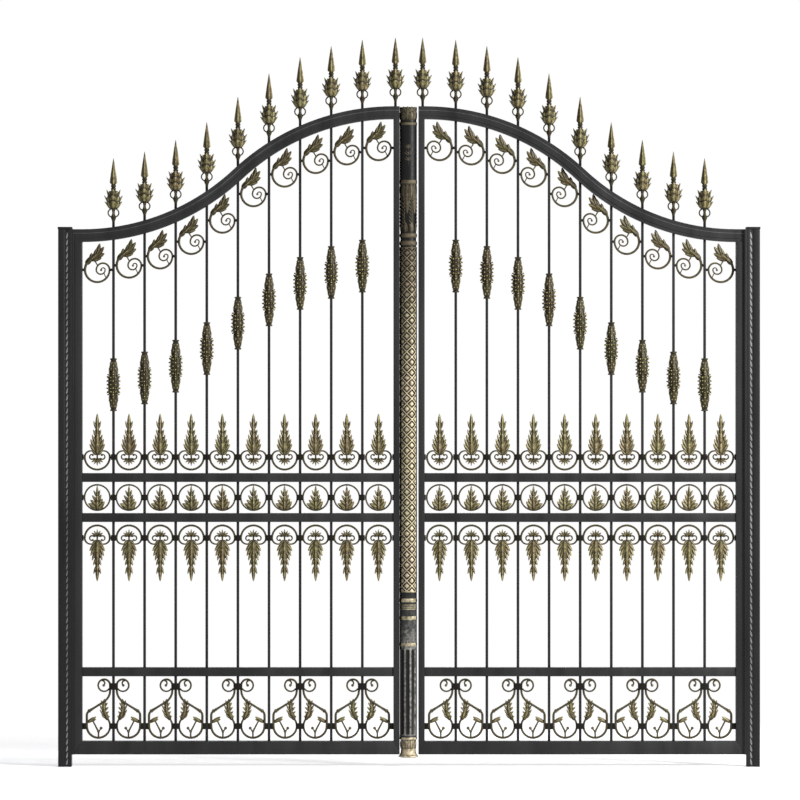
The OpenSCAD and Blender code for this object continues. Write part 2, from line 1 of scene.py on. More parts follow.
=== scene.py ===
# %% [markdown]
# # A double-leaf driveway gate in wrought iron
#
# Two leaves of black square tube hang on two posts and meet at a round column.
# Bars stand in the frame, and nearly every panel holds a casting in antique gold: spears along the
# curved top rail, baskets in the bars, scrolls with an acanthus leaf, finials, rings and S scrolls.
# The ironwork that is flat and square comes ready from the frame, and only gets its paint here.
# The castings are modelled new, because their leaves, beads and rolled ends are what the eye goes to.

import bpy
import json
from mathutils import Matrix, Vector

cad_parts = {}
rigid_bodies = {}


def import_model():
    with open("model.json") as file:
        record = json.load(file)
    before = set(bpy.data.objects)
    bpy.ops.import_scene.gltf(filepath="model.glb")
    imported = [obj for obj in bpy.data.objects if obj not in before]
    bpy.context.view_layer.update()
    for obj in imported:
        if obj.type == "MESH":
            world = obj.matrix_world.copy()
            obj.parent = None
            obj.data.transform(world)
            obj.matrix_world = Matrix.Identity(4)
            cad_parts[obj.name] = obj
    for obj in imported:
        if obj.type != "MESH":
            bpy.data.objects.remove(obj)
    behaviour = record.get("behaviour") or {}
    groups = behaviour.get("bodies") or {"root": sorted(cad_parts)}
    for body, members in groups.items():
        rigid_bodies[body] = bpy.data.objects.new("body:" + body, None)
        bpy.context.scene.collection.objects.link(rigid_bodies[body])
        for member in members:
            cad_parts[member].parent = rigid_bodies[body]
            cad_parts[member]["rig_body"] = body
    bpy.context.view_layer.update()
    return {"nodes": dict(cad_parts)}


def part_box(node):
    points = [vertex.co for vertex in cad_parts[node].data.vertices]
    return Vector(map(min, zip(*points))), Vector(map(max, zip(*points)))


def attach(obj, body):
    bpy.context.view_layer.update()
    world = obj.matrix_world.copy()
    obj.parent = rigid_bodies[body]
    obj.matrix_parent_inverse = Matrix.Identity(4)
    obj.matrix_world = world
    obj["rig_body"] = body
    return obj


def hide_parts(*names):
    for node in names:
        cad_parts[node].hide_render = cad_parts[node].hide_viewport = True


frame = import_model()

# %% [markdown]
# ## The camera
#
# The gate is shown straight from the front, with no sides of the posts to be seen. A short lens
# would show them, so the camera stands far away behind a long lens, and no lens shift is needed.
# It comes first, so that every piece made later can be looked at from the same place.

# %% Camera straight in front
import bpy
import bmesh
import json
import math
from mathutils import Matrix, Vector

MM = 0.001
view_width = 3.6
view_centre = Vector((1.5066, 0.0, 1.6488))
lens = 220.0


def added(name, data):
    """Puts an object with this data into the scene."""
    made = bpy.data.objects.new(name, data)
    bpy.context.scene.collection.objects.link(made)
    return made


camera_data = bpy.data.cameras.new("front_camera")
camera_data.lens = lens
camera_data.clip_end = 200.0
camera = added("front_camera", camera_data)
distance = view_width / 2 / (camera_data.sensor_width / 2 / lens)
camera.location = view_centre + Vector((0.0, -distance, 0.0))
camera.rotation_euler = (math.radians(90), 0.0, 0.0)
bpy.context.scene.camera = camera
print("camera stands", round(distance, 2), "m in front")

# %% [markdown]
# ## Measures of the gate
#
# Every new piece has to meet the bars and rails that carry it. Their places could be typed in again,
# but then a change of the gate would leave the castings behind, so they are read from the frame.
# All modelling is in millimetres, from the left post's centre, and turns into metres at the end.


# %% Places read from the frame
def low(node):
    """Lowest corner of a frame piece, in millimetres."""
    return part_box(node)[0] / MM


def high(node):
    """Highest corner of a frame piece, in millimetres."""
    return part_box(node)[1] / MM


panels = 10
open_x = low("left_upper_rail").x
close_x = high("left_upper_rail").x
pitch = (close_x - open_x) / panels
bar = high("left_bars").y - low("left_bars").y
leaf_plane = (low("left_hinge_stile").y + high("left_hinge_stile").y) / 2
gate_middle = (low("left_post").x + high("right_post").x) / 2
print("panel pitch", round(pitch, 1), "bar", round(bar, 1), "middle", round(gate_middle, 1))

# %% [markdown]
# The top rail is an S of two equal arcs. The spears stand on it, and the baskets and leaf scrolls
# hang at an even distance below it, so its height over any point is worked out from the two arcs.

# %% The line of the top rail
shoulder_z = high("left_hinge_stile").z
crown_z = high("left_meeting_stile").z
rail_thick = high("left_top_rail").z - crown_z
rise = crown_z - shoulder_z
run = close_x - open_x
arc_r = (run * run + rise * rise) / (4 * rise)
arc_angle = 2 * math.atan(rise / run)


def rail_edge(x):
    """Height of the top rail's upper edge at x."""
    u = x - open_x
    middle = shoulder_z + rail_thick / 2
    inner, outer = arc_r - rail_thick / 2, arc_r + rail_thick / 2
    if u <= 0:
        return shoulder_z + rail_thick
    if u >= run:
        return crown_z + rail_thick
    if u < inner * math.sin(arc_angle):
        return middle + arc_r - math.sqrt(inner * inner - u * u)
    return middle + rise - arc_r + math.sqrt(outer * outer - (run - u) ** 2)


def bar_x(i):
    """Middle of bar i; bars 0 and 10 would stand where the stiles are."""
    return open_x + i * pitch


def panel_sides(i):
    """The iron faces on the left and right of panel i."""
    left = open_x if i == 0 else bar_x(i) + bar / 2
    right = close_x if i == panels - 1 else bar_x(i + 1) - bar / 2
    return left, right


def panel_x(i):
    """Middle of panel i."""
    return sum(panel_sides(i)) / 2


print("top rail rises", round(rise), "mm on arcs of", round(arc_r), "mm")

# %% [markdown]
# ## Tools for castings
#
# A scroll is a bar that bends and gets thinner towards its rolled end. A curve object with a bevel
# could draw it, but a bmesh keeps all castings of a leaf in one mesh. The section is a small circle,
# and each step extrudes its face, turns it about the bend's centre and makes it a little smaller.
# The face left behind would be a wall inside the bar, so it is taken out, save for the first one.
#
# The painter rubs gold on the leaves and beads, little on the scroll bars and none on the collars.
# Each vertex carries that share in an attribute called gilding, which the finish reads later. New
# vertices start at none, and an extrusion hands its share on, so only first outlines are marked.


# %% Scroll bars
BAR_GILDING = 0.36
BAR_SIDES = 8


def fresh():
    """An empty bmesh whose vertices can carry their share of gilding."""
    bm = bmesh.new()
    bm.verts.layers.float.new("gilding")
    return bm


def gild(bm, verts, share):
    """Marks verts with their share of gilding."""
    layer = bm.verts.layers.float["gilding"]
    for v in verts:
        v[layer] = share


def turned(angle):
    """A turn in the gate's plane, counter-clockwise as seen from the front."""
    return Matrix.Rotation(-math.radians(angle), 4, "Y")


def scroll(bm, start, heading, moves, width, depth, step=14):
    """Sweeps a scroll bar from start, a point (x, z). A move is (turn, radius, width at its end);
    a turn of 0 goes straight on, over the length given as radius."""
    point = Vector((start[0], 0.0, start[1]))
    made = bmesh.ops.create_circle(bm, cap_ends=True, segments=BAR_SIDES, radius=0.5)["verts"]
    gild(bm, made, BAR_GILDING)
    stand = Matrix.Translation(point) @ turned(heading) @ Matrix.Rotation(math.radians(90), 4, "Y")
    size = Matrix.Diagonal((width, depth, 1, 1))
    spin_face = Matrix.Rotation(math.pi / BAR_SIDES, 4, "Z")
    bmesh.ops.transform(bm, matrix=stand @ size @ spin_face, verts=made)
    face = made[0].link_faces[0]
    for turn, radius, end_width in moves:
        steps = max(1, round(abs(turn) / step))
        shrink = (end_width / width) ** (1 / steps)
        for _ in range(steps):
            behind = face
            grown = bmesh.ops.extrude_face_region(bm, geom=[face])["geom"]
            face = next(g for g in grown if isinstance(g, bmesh.types.BMFace))
            if len(behind.edges[0].link_faces) > 2:
                bmesh.ops.delete(bm, geom=[behind], context="FACES_ONLY")
            verts = list(face.verts)
            if turn == 0:
                ahead = turned(heading) @ Vector((radius, 0, 0))
                bmesh.ops.translate(bm, vec=ahead, verts=verts)
                point = point + ahead
            else:
                side = 90 if turn > 0 else -90
                centre = point + turned(heading + side) @ Vector((radius, 0, 0))
                swing = turned(turn / steps)
                bmesh.ops.rotate(bm, cent=centre, matrix=swing, verts=verts)
                point = centre + swing @ (point - centre)
                heading += turn / steps
            bmesh.ops.scale(bm, vec=(shrink,) * 3, space=Matrix.Translation(-point), verts=verts)
        width = end_width


def straight(bm, a, b, width, depth, end_width=None):
    """A straight stem between two points (x, z)."""
    length = math.dist(a, b)
    heading = math.degrees(math.atan2(b[1] - a[1], b[0] - a[0]))
    scroll(bm, a, heading, [(0, length, end_width or width)], width, depth)


def bead(bm, centre, radius, flat=1.0):
    """A round bead, such as the rolled end of a scroll. flat is its depth over its width."""
    made = bmesh.ops.create_uvsphere(bm, u_segments=8, v_segments=6, radius=radius)["verts"]
    place = Matrix.Translation((centre[0], 0, centre[1])) @ Matrix.Diagonal((1, flat, 1, 1))
    bmesh.ops.transform(bm, matrix=place, verts=made)
    gild(bm, made, 0.5)


print("scroll tools ready")

# %% [markdown]
# A cast leaf is a group of lobes, each with a crease down its middle and a tip that turns outwards.
# A plate with a jagged outline would look sawn, so each lobe is a body of its own: a sphere that is
# drawn out long, flattened, creased, and bent towards its tip. Overlapping lobes make the leaf. The
# ridge and the rim take the gold, and the two creases between them stay dark.


# %% Leaf lobes
CREASE_DEPTH = 0.55
BOTH = (1, -1)
RIB_FACES = (-4, 4)


def lobe(bm, root, tip, width, thick, curl=0.0, bend=0.0, face=(0, -1, 0), sides=8, rings=7,
         share=1.0):
    """One lobe of a leaf from root to tip, points (x, y, z). curl lifts the tip the way the leaf
    faces and bend moves it sideways, both as a share of the length. Returns its verts."""
    root, tip = Vector(root), Vector(tip)
    along = (tip - root).normalized()
    across = along.cross(Vector(face)).normalized()
    out = across.cross(along).normalized()
    length = (tip - root).length
    verts = bmesh.ops.create_uvsphere(bm, u_segments=sides, v_segments=rings, radius=1)["verts"]
    gilding = bm.verts.layers.float["gilding"]
    for v in verts:
        t = (v.co.z + 1) / 2
        taper = 1.2 - 0.6 * t
        in_crease = min(abs(v.co.x), abs(v.co.y)) > 0.05
        crease = CREASE_DEPTH if in_crease else 1.0
        v[gilding] = share * ((0.15 if in_crease else 0.65) + 0.35 * t)
        wide = v.co.x * width / 2 * taper + bend * length * t * t
        deep = v.co.y * thick / 2 * taper * crease + curl * length * t * t
        v.co = root + across * wide + out * deep + along * (t * length)
    return verts


def lobes(bm, *rows, sides=(1,), y=0.0, share=1.0):
    """Lobes in the gate's plane. A row is x and z of the root, x and z of the tip, width, thickness
    and, where they are not nought, curl and bend. BOTH as sides adds the mirror image."""
    for x0, z0, x1, z1, width, thick, *shape in rows:
        for side in sides:
            lobe(bm, (x0 * side, y, z0), (x1 * side, y, z1), width, thick, *shape, share=share)


def midribs(bm, *rows):
    """Raised leaves down the middle of both faces. A row is the height of the root and of the tip,
    how much further out the tip lies, width and thickness."""
    for y in RIB_FACES:
        for low_z, high_z, spread, width, thick in rows:
            lobe(bm, (0, y, low_z), (0, y * spread, high_z), width, thick)


def crown(bm, count, start, root, tip, width, thick, **shape):
    """Lobes in a ring about the upright axis; root and tip are (radius, height)."""
    for k in range(count):
        a = math.radians(start + 360 * k / count)
        way = Vector((math.cos(a), math.sin(a), 0))
        verts = lobe(bm, (root[0], 0, root[1]), (tip[0], 0, tip[1]), width, thick,
                     face=(1, 0, 0), **shape)
        for v in verts:
            v.co = way * v.co.x + Vector((-way.y, way.x, 0)) * v.co.y + Vector((0, 0, v.co.z))


print("leaf tools ready")

# %% [markdown]
# The round cores of spears and baskets, and the column, are turned shapes. Their outline is drawn
# once, from the axis out and back, and spun about the upright axis.


# %% Turned shapes and collars
BLOCK_EDGE = 1.2


def turned_shape(bm, outline, sides, share, base=0.0):
    """Spins an outline of points (radius, height over base) about the upright axis."""
    verts = [bm.verts.new((r, 0, base + z)) for r, z in outline]
    gild(bm, verts, share)
    edges = [bm.edges.new(pair) for pair in zip(verts, verts[1:])]
    bmesh.ops.spin(bm, geom=verts + edges, cent=(0, 0, 0), axis=(0, 0, 1),
                   angle=math.tau, steps=sides, use_merge=True, use_duplicate=False)
    bmesh.ops.remove_doubles(bm, verts=bm.verts[:], dist=0.001)


def block(bm, x0, x1, z0, z1, depth):
    """A block with softened edges between two x and two z values, in the middle of the leaf."""
    verts = bmesh.ops.create_cube(bm, size=1)["verts"]
    size = Matrix.Diagonal((x1 - x0, depth, z1 - z0, 1))
    place = Matrix.Translation(((x0 + x1) / 2, leaf_plane, (z0 + z1) / 2))
    bmesh.ops.transform(bm, matrix=place @ size, verts=verts)
    edges = list({e for v in verts for e in v.link_edges})
    bmesh.ops.bevel(bm, geom=edges, offset=BLOCK_EDGE, offset_type="OFFSET", segments=2,
                    profile=0.5, affect="EDGES", material=-1)


print("lathe and collar tools ready")

# %% [markdown]
# A finished casting is stamped into its leaf as often as it stands there. The copies are one mesh,
# as one frame piece holds them, and the right leaf is the left one mirrored. A mirror turns the
# faces inside out, so the normals are worked out again at the very end.

# %% From one casting to a whole leaf
SHARP = math.radians(38)


def as_mesh(bm, name):
    """Turns a bmesh into a mesh."""
    mesh = bpy.data.meshes.new(name)
    bm.to_mesh(mesh)
    bm.free()
    return mesh


def finished(bm, name, material, body, stands_for=()):
    """Writes a bmesh in millimetres as a piece in metres, and says what carries it."""
    bmesh.ops.remove_doubles(bm, verts=bm.verts[:], dist=0.0005)
    bmesh.ops.recalc_face_normals(bm, faces=bm.faces[:])
    for face in bm.faces:
        face.smooth = True
    for edge in bm.edges:
        if len(edge.link_faces) == 2 and edge.calc_face_angle(0) > SHARP:
            edge.smooth = False
    bmesh.ops.scale(bm, vec=(MM,) * 3, verts=bm.verts[:])
    mesh = as_mesh(bm, name)
    mesh.materials.append(material)
    piece = added(name, mesh)
    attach(piece, body)
    if stands_for:
        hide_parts(*stands_for)
    print(name, sum(len(p.vertices) - 2 for p in mesh.polygons), "triangles")


def one_casting(draw):
    """Draws a casting by itself and keeps it as a mesh."""
    bm = fresh()
    draw(bm)
    return as_mesh(bm, draw.__name__)


def stamp(bm, mesh, *moves):
    """Adds a copy of a casting; of the moves given, the last one is made first."""
    copy = mesh.copy()
    for move in reversed(moves):
        copy.transform(move)
    bm.from_mesh(copy)
    bpy.data.meshes.remove(copy)


def at(x, z, y=None):
    """A move to x and z, in the leaf's plane if no y is given."""
    return Matrix.Translation((x, leaf_plane if y is None else y, z))


def about_axis(angle):
    """A turn about the upright axis, in degrees."""
    return Matrix.Rotation(math.radians(angle), 4, "Z")


MIRROR_X = Matrix.Diagonal((-1, 1, 1, 1))
MIRROR_Z = Matrix.Diagonal((1, 1, -1, 1))


def both_leaves(name, fill, material, stands_for=None):
    """Fills the left leaf's piece, then the right leaf's as its mirror image."""
    for side in ("left", "right"):
        bm = fresh()
        fill(bm)
        if side == "right":
            mirror = at(2 * gate_middle, 0, 0) @ MIRROR_X
            bmesh.ops.transform(bm, matrix=mirror, verts=bm.verts[:])
        replaced = [f"{side}_{stands_for}"] if stands_for else ()
        finished(bm, f"{side}_{name}", material, f"{side}_leaf", replaced)


def castings(fill):
    """Both leaves' antique gold castings, which stand for the frame's pieces that fill is named for."""
    both_leaves(f"{fill.__name__}_cast", fill, antique_gold, fill.__name__)


print("stamping tools ready")

# %% [markdown]
# ## Finishes
#
# All iron is painted, and its colour is never quite even: dust, wear and the brush leave cloudy
# stretches. The tone is a noise over the object, so that it runs on from piece to piece, and a
# finer noise gives the paint its slight orange peel. Gloss changes with the same clouds.


# %% Helpers for shader nodes
def feed(tree, made, **inputs):
    """Sets a node's sockets by name, or its properties where no socket has the name."""
    for key, value in inputs.items():
        title = key.replace("_", " ")
        socket = next((s for s in made.inputs if s.name.lower() == title), None)
        if socket is None:
            setattr(made, key, value)
        elif isinstance(value, bpy.types.NodeSocket):
            tree.links.new(value, socket)
        else:
            socket.default_value = value


def node(tree, kind, **inputs):
    """Adds a shader node and feeds its inputs."""
    made = tree.nodes.new(kind)
    feed(tree, made, **inputs)
    return made


def noise(tree, place, scale, detail, roughness=0.5):
    """A cloudy value between nought and one."""
    return node(tree, "ShaderNodeTexNoise", vector=place, scale=scale, detail=detail,
                roughness=roughness).outputs["Fac"]


def tones(tree, factor, *stops):
    """A colour ramp; each stop is (place, (r, g, b))."""
    ramp = node(tree, "ShaderNodeValToRGB", fac=factor)
    places = ramp.color_ramp.elements
    while len(places) < len(stops):
        places.new(0.5)
    for element, (place, colour) in zip(places, stops):
        element.position = place
        element.color = (*colour, 1.0)
    return ramp.outputs["Color"]


def span(tree, value, low_in, high_in, low_out, high_out):
    """Maps a value from one range to another."""
    made = node(tree, "ShaderNodeMapRange", value=value, from_min=low_in, from_max=high_in,
                to_min=low_out, to_max=high_out)
    return made.outputs["Result"]


def calc(tree, operation, a, b):
    """A math node on two values, each a number or a socket."""
    made = tree.nodes.new("ShaderNodeMath")
    made.operation = operation
    for socket, value in zip(made.inputs, (a, b)):
        if isinstance(value, bpy.types.NodeSocket):
            tree.links.new(value, socket)
        else:
            socket.default_value = value
    return made.outputs[0]


def blank_material(name):
    """A new material with its node tree and its one shader."""
    material = bpy.data.materials.new(name)
    material.use_nodes = True
    tree = material.node_tree
    return material, tree, tree.nodes["Principled BSDF"]


def bump(tree, height, strength, distance):
    """A fine relief, for a shader's normal."""
    return node(tree, "ShaderNodeBump", height=height, strength=strength,
                distance=distance).outputs["Normal"]


def joined(tree, kind, first, second, **inputs):
    """A node that adds or mixes two shaders, which are its last two inputs."""
    made = node(tree, kind, **inputs)
    for socket, shader in zip(made.inputs[-2:], (first, second)):
        tree.links.new(shader.outputs[0], socket)
    return made


print("shader helpers ready")


# %% Painted iron
STREAK = (1.0, 1.0, 0.15)


def painted_iron(name, dark, light, gloss):
    """Satin black paint with a cloudy tone that is drawn out upwards."""
    material, tree, shader = blank_material(name)
    place = node(tree, "ShaderNodeTexCoord").outputs["Object"]
    stretched = node(tree, "ShaderNodeMapping", vector=place, scale=STREAK).outputs["Vector"]
    clouds = noise(tree, stretched, 9.0, 6.0, 0.62)
    feed(tree, shader, base_color=tones(tree, clouds, (0.3, dark), (0.72, light)), metallic=0.0,
         roughness=span(tree, clouds, 0.3, 0.7, gloss - 0.1, gloss + 0.12), specular_ior_level=0.22,
         normal=bump(tree, noise(tree, place, 420.0, 2.0), 0.12, 0.0006))
    return material


post_black = painted_iron("post_black", (0.003, 0.003, 0.0033), (0.010, 0.010, 0.0105), 0.44)
frame_black = painted_iron("frame_black", (0.006, 0.006, 0.0063), (0.022, 0.022, 0.0225), 0.48)
bar_black = painted_iron("bar_black", (0.004, 0.004, 0.004), (0.014, 0.013, 0.013), 0.46)
# The top rail's beads are painted lighter grey than the black rail: a painted highlight along their
# rounding.
bead_painted_highlight = painted_iron("bead_painted_highlight", (0.03, 0.03, 0.03), (0.11, 0.11, 0.11), 0.4)
# The posts' ropes are painted light grey: a painted highlight on strands that are black iron like the post.
rope_grey = painted_iron("rope_grey", (0.06, 0.06, 0.06), (0.26, 0.26, 0.26), 0.4)
hinge_black = painted_iron("hinge_black", (0.006, 0.006, 0.006), (0.03, 0.03, 0.03), 0.34)
print("painted irons made")

# %% [markdown]
# The castings are black iron rubbed with gold by hand. The gold lies on whatever stands proud, and
# the hollows stay nearly black. Occlusion tells the hollows from the high places, the gilding share
# says how much a leaf, a bar or a collar got, and a noise keeps the rubbing uneven. Some castings are
# greener and some browner, so a slow noise shifts the hue a little.


# %% Gold rubbed over black
HOLLOW_REACH = 0.012
LEAST_RUB = 0.55


def rubbed_gold(name, hollow, body_tone, high_tone):
    """Dark casting whose raised parts carry a rubbed tone."""
    material, tree, shader = blank_material(name)
    place = node(tree, "ShaderNodeTexCoord").outputs["Object"]
    share = node(tree, "ShaderNodeAttribute", attribute_name="gilding").outputs["Fac"]
    open_sky = node(tree, "ShaderNodeAmbientOcclusion", distance=HOLLOW_REACH, samples=6)
    rub = noise(tree, place, 70.0, 4.0, 0.6)
    high_place = span(tree, open_sky.outputs["AO"], 0.4, 0.95, 0.0, 1.0)
    uneven = span(tree, rub, 0.3, 0.65, LEAST_RUB, 1.25)
    rubbed = calc(tree, "MULTIPLY", calc(tree, "MULTIPLY", high_place, share), uneven)
    colour = tones(tree, rubbed, (0.05, hollow), (0.45, body_tone), (0.95, high_tone))
    drift = span(tree, noise(tree, place, 5.0, 1.0), 0.3, 0.7, 0.482, 0.512)
    shift = node(tree, "ShaderNodeHueSaturation", hue=drift, color=colour)
    feed(tree, shader, base_color=shift.outputs["Color"], specular_ior_level=0.12,
         metallic=span(tree, rubbed, 0.1, 0.9, 0.0, 0.16),
         roughness=span(tree, rub, 0.3, 0.7, 0.36, 0.54),
         normal=bump(tree, noise(tree, place, 650.0, 2.0), 0.25, 0.0005))
    return material


antique_gold = rubbed_gold("antique_gold", (0.007, 0.006, 0.004), (0.080, 0.067, 0.032),
                           (0.34, 0.293, 0.14))
column_gold = rubbed_gold("column_gold", (0.010, 0.008, 0.006), (0.13, 0.11, 0.066),
                          (0.52, 0.455, 0.30))
shaft_grey = rubbed_gold("shaft_grey", (0.006, 0.006, 0.006), (0.05, 0.05, 0.048),
                         (0.30, 0.29, 0.26))
print("rubbed golds made")

# %% [markdown]
# The frame's own pieces keep their shape and only take their paint: the posts nearly black, the
# leaves' tubes a little lighter, and the bars between them.

# %% Paint on the frame's pieces
coats = {
    "post_iron": post_black,
    "frame_iron": frame_black,
    "bar_iron": bar_black,
    "hinge_steel": hinge_black,
    "casting_gold": antique_gold,
    "column_bronze": column_gold,
}
for piece in frame["nodes"].values():
    slot = piece.data.materials[0].name.split(".")[0]
    piece.material_slots[0].material = coats[slot]
frame["nodes"]["column_tube"].material_slots[0].material = post_black
print("painted", len(frame["nodes"]), "frame pieces")

# %% [markdown]
# A tube from the mill has rounded corners, and the light line along them is what makes a black
# frame readable. A plain box has no such line, so posts, stiles, rails and bars are copied, their
# loose triangles are merged and dissolved into flat faces, and the corners get a small bevel.


# %% Rounded corners on tubes and bars
def rounded(node_name, corner):
    """A copy of a square-edged frame piece with rounded corners, in its place."""
    source = frame["nodes"][node_name]
    bm = bmesh.new()
    bm.from_mesh(source.data)
    bmesh.ops.scale(bm, vec=(1 / MM,) * 3, verts=bm.verts[:])
    bmesh.ops.remove_doubles(bm, verts=bm.verts[:], dist=0.01)
    bmesh.ops.dissolve_limit(bm, angle_limit=math.radians(0.5), verts=bm.verts[:],
                             edges=bm.edges[:])
    corners = [e for e in bm.edges if len(e.link_faces) == 2
               and e.calc_face_angle(0) > math.radians(30)]
    bmesh.ops.bevel(bm, geom=corners, offset=corner, offset_type="OFFSET", segments=3,
                    profile=0.5, affect="EDGES", material=-1, clamp_overlap=True)
    finished(bm, f"{node_name}_tube", source.material_slots[0].material, source["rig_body"],
             [node_name])


for side in ("left", "right"):
    for part in ("hinge_stile", "meeting_stile", "bottom_rail", "kick_rail", "middle_rail",
                 "upper_rail"):
        rounded(f"{side}_{part}", 1.2)
    rounded(f"{side}_bars", 0.9)
    rounded(f"{side}_post", 1.5)
    rounded(f"{side}_post_cap", 1.6)
    rounded(f"{side}_post_lip", 0.8)

# %% [markdown]
# Two half-round beads run along both faces of the top rail, and they are what shows its curve from
# afar. Each is swept like a scroll bar, along the rail's own arcs, at its depth below the upper edge.
# They are black iron like the rail, and their lighter grey paint is a painted highlight along their
# rounding.


# %% Beads along the top rail
BEADS = ((0.32, 3.4), (0.67, 6.4))
BEAD_SINK = 3.0
BEAD_STEP = 1.5
leaf_depth = high("left_hinge_stile").y - low("left_hinge_stile").y


def rail_beads(bm):
    """The beads on both faces; each has its middle at a share of the rail's thickness below its
    edge, and a width."""
    start_x, end_x = low("left_top_rail").x, high("left_top_rail").x
    angle = math.degrees(arc_angle)
    for share_down, width in BEADS:
        down = share_down * rail_thick
        for side in (-1, 1):
            before = len(bm.verts)
            scroll(bm, (start_x, shoulder_z + rail_thick - down), 0, [
                (0, open_x - start_x, width), (angle, arc_r - rail_thick / 2 + down, width),
                (-angle, arc_r + rail_thick / 2 - down, width), (0, end_x - close_x, width)
            ], width, width, BEAD_STEP)
            bm.verts.ensure_lookup_table()
            face_y = leaf_plane + side * (leaf_depth / 2 - BEAD_SINK)
            bmesh.ops.translate(bm, verts=bm.verts[before:], vec=(0, face_y, 0))


# painted highlight: the beads take the lighter grey paint, not the rail's black
both_leaves("top_rail_beads", rail_beads, bead_painted_highlight)

# %% [markdown]
# ## Spears on the top rail
#
# A spear is cast in one piece: a foot cone, four open loops, a body wrapped in three tiers of
# leaves, a turned neck, and a blade of square section whose ridges face front, back and sides.
# The leaves stand round the body, so the spear looks the same from the front and from the side.


# %% One spear
VALLEY_IN = 0.68
VALLEY_GILDING = 0.3


def open_loop(bm):
    scroll(bm, (9.8, 23.5), 12, [(150, 18.0, 6.5)], 6.5, 7)


def blade(bm):
    """A blade of four faces: every second side of an eight-sided turning is drawn in, and takes
    less gold than the ridges."""
    turned_shape(bm, [
        (0, 168), (9, 168), (16.8, 177), (16.4, 184), (14.4, 200), (10.2, 230), (5, 262), (1.2, 285),
        (0, 287)
    ], 8, 0.8)
    valleys = [v for v in bm.verts if abs(abs(v.co.x) - abs(v.co.y)) < 0.2]
    gild(bm, valleys, VALLEY_GILDING)
    for v in valleys:
        v.co.x *= VALLEY_IN
        v.co.y *= VALLEY_IN


# Leaves that face front, back and sides, and those between them: root, tip, width and curl
SPEAR_TIERS = (
    (0, (((14, 58), (33, 97), 34, 0.18), ((20, 80), (34, 122), 30, 0.18), ((18, 106), (24, 147), 22, 0.18))),
    (45, (((15, 60), (31, 92), 30, 0.1), ((20, 80), (31, 114), 26, 0.1), ((17, 106), (20, 141), 19, 0.12))),
)
loop_mesh = one_casting(open_loop)
blade_mesh = one_casting(blade)


def spear(bm):
    turned_shape(bm, [
        (0, 0), (6.5, 0), (7, 6), (12.5, 19), (13, 24), (9.5, 29), (6.5, 36), (6, 44), (8, 54),
        (14, 60), (23, 69), (29, 82), (31, 94), (30, 108), (26, 122), (19, 134), (13, 141), (9, 144),
        (11.8, 147), (11.8, 151), (8.5, 155), (11.5, 159), (12, 164), (8.5, 169), (0, 169)
    ], 12, 0.2)
    for k in range(4):
        stamp(bm, loop_mesh, about_axis(90 * k))
    for turn, tiers in SPEAR_TIERS:
        for root, tip, width, curl in tiers:
            crown(bm, 4, turn, root, tip, width, 12, curl=curl)
    stamp(bm, blade_mesh)


SPEAR_H = 287.0
END_SPEAR = 9.0
spear_stem = high("left_spears").z - crown_z - rail_thick - SPEAR_H
spear_mesh = one_casting(spear)


def spears(bm):
    """A spear over each bar and a last one over the meeting stile, with the stems they stand on."""
    places = [bar_x(i) for i in range(1, panels)] + [close_x + END_SPEAR]
    for x in places:
        stamp(bm, spear_mesh, at(x, rail_edge(x) + spear_stem))
        block(bm, x - bar / 2, x + bar / 2, rail_edge(x) - 4, rail_edge(x) + spear_stem + 1, bar)


castings(spears)

# %% [markdown]
# ## Baskets in the bars
#
# Half-way down, each bar swells into a cast basket: long petals reach from both end collars to a
# middle like a pine cone, whose scales stand in five rows. The scales are short lobes that lean away
# from the middle row, and small studs with bright gold sit on the petals and between the scales.


# %% One basket
BASKET_H = 238.0
# Rows of eight scales: height, distance of their roots and of their tips from the axis
SCALE_ROWS = ((-32, 22, 31), (-16, 24, 31.5), (0, 25, 35.5), (16, 24, 31.5), (32, 22, 31))
# Studs, the same at both ends: height, distance from the axis, number and first angle
STUDS = ((97, 13.5, 6, 0), (84, 16, 6, 30), (71, 18.5, 6, 0), (57, 21, 6, 30),
         (45, 24.5, 8, 0), (32, 27.5, 8, 22.5), (16, 29, 8, 0), (0, 29, 8, 22.5))


def basket(bm):
    half = BASKET_H / 2
    turned_shape(bm, [
        (0, -half), (13, -half), (16, -half + 2), (15, -half + 6), (10.5, -half + 10),
        (12, -92), (17, -64), (21, -44), (24, -30), (25, 0), (24, 30), (21, 44), (17, 64), (12, 92),
        (10.5, half - 10), (15, half - 6), (16, half - 2), (13, half), (0, half)
    ], 12, 0.25)
    for up in (1, -1):
        crown(bm, 6, 30, (10.5, 110 * up), (21.5, 36 * up), 17, 7, curl=0.02, share=0.45)
        crown(bm, 6, 0, (10, 112 * up), (18.5, 58 * up), 12, 6, curl=0.06, share=0.5)
        for height, out, count, turn in STUDS if up > 0 else STUDS[:-1]:
            for k in range(count):
                made = bmesh.ops.create_icosphere(bm, subdivisions=1, radius=4.0)["verts"]
                place = about_axis(turn + 360 * k / count) @ at(out, height * up, 0)
                bmesh.ops.transform(bm, matrix=place, verts=made)
                gild(bm, made, 0.85)
    for height, root, tip in SCALE_ROWS:
        lean = 0.2 * height
        shift = 22.5 if height % 32 else 0
        crown(bm, 8, shift, (root - 6, height - lean * 0.6), (tip, height + lean), 12.5, 10, rings=5)


basket_mesh = one_casting(basket)
basket_drop = rail_edge(bar_x(panels - 1)) + BASKET_H / 2 - high("left_baskets").z


def baskets(bm):
    for i in range(1, panels):
        stamp(bm, basket_mesh, at(bar_x(i), rail_edge(bar_x(i)) - basket_drop))


print("baskets hang", round(basket_drop), "mm down")
castings(baskets)

# %% [markdown]
# ## Leaf scrolls under the top rail
#
# Each scroll is one bar that starts under an acanthus leaf, runs round in a big ring, and winds
# inwards in half turns as it thins, to a rolled end. Two short ties keep the coil in its place, and
# a small collar at each side holds the ring to the bars.


# %% One leaf scroll
RING = 55.5
HALF_TURNS = (30, 20, 9)


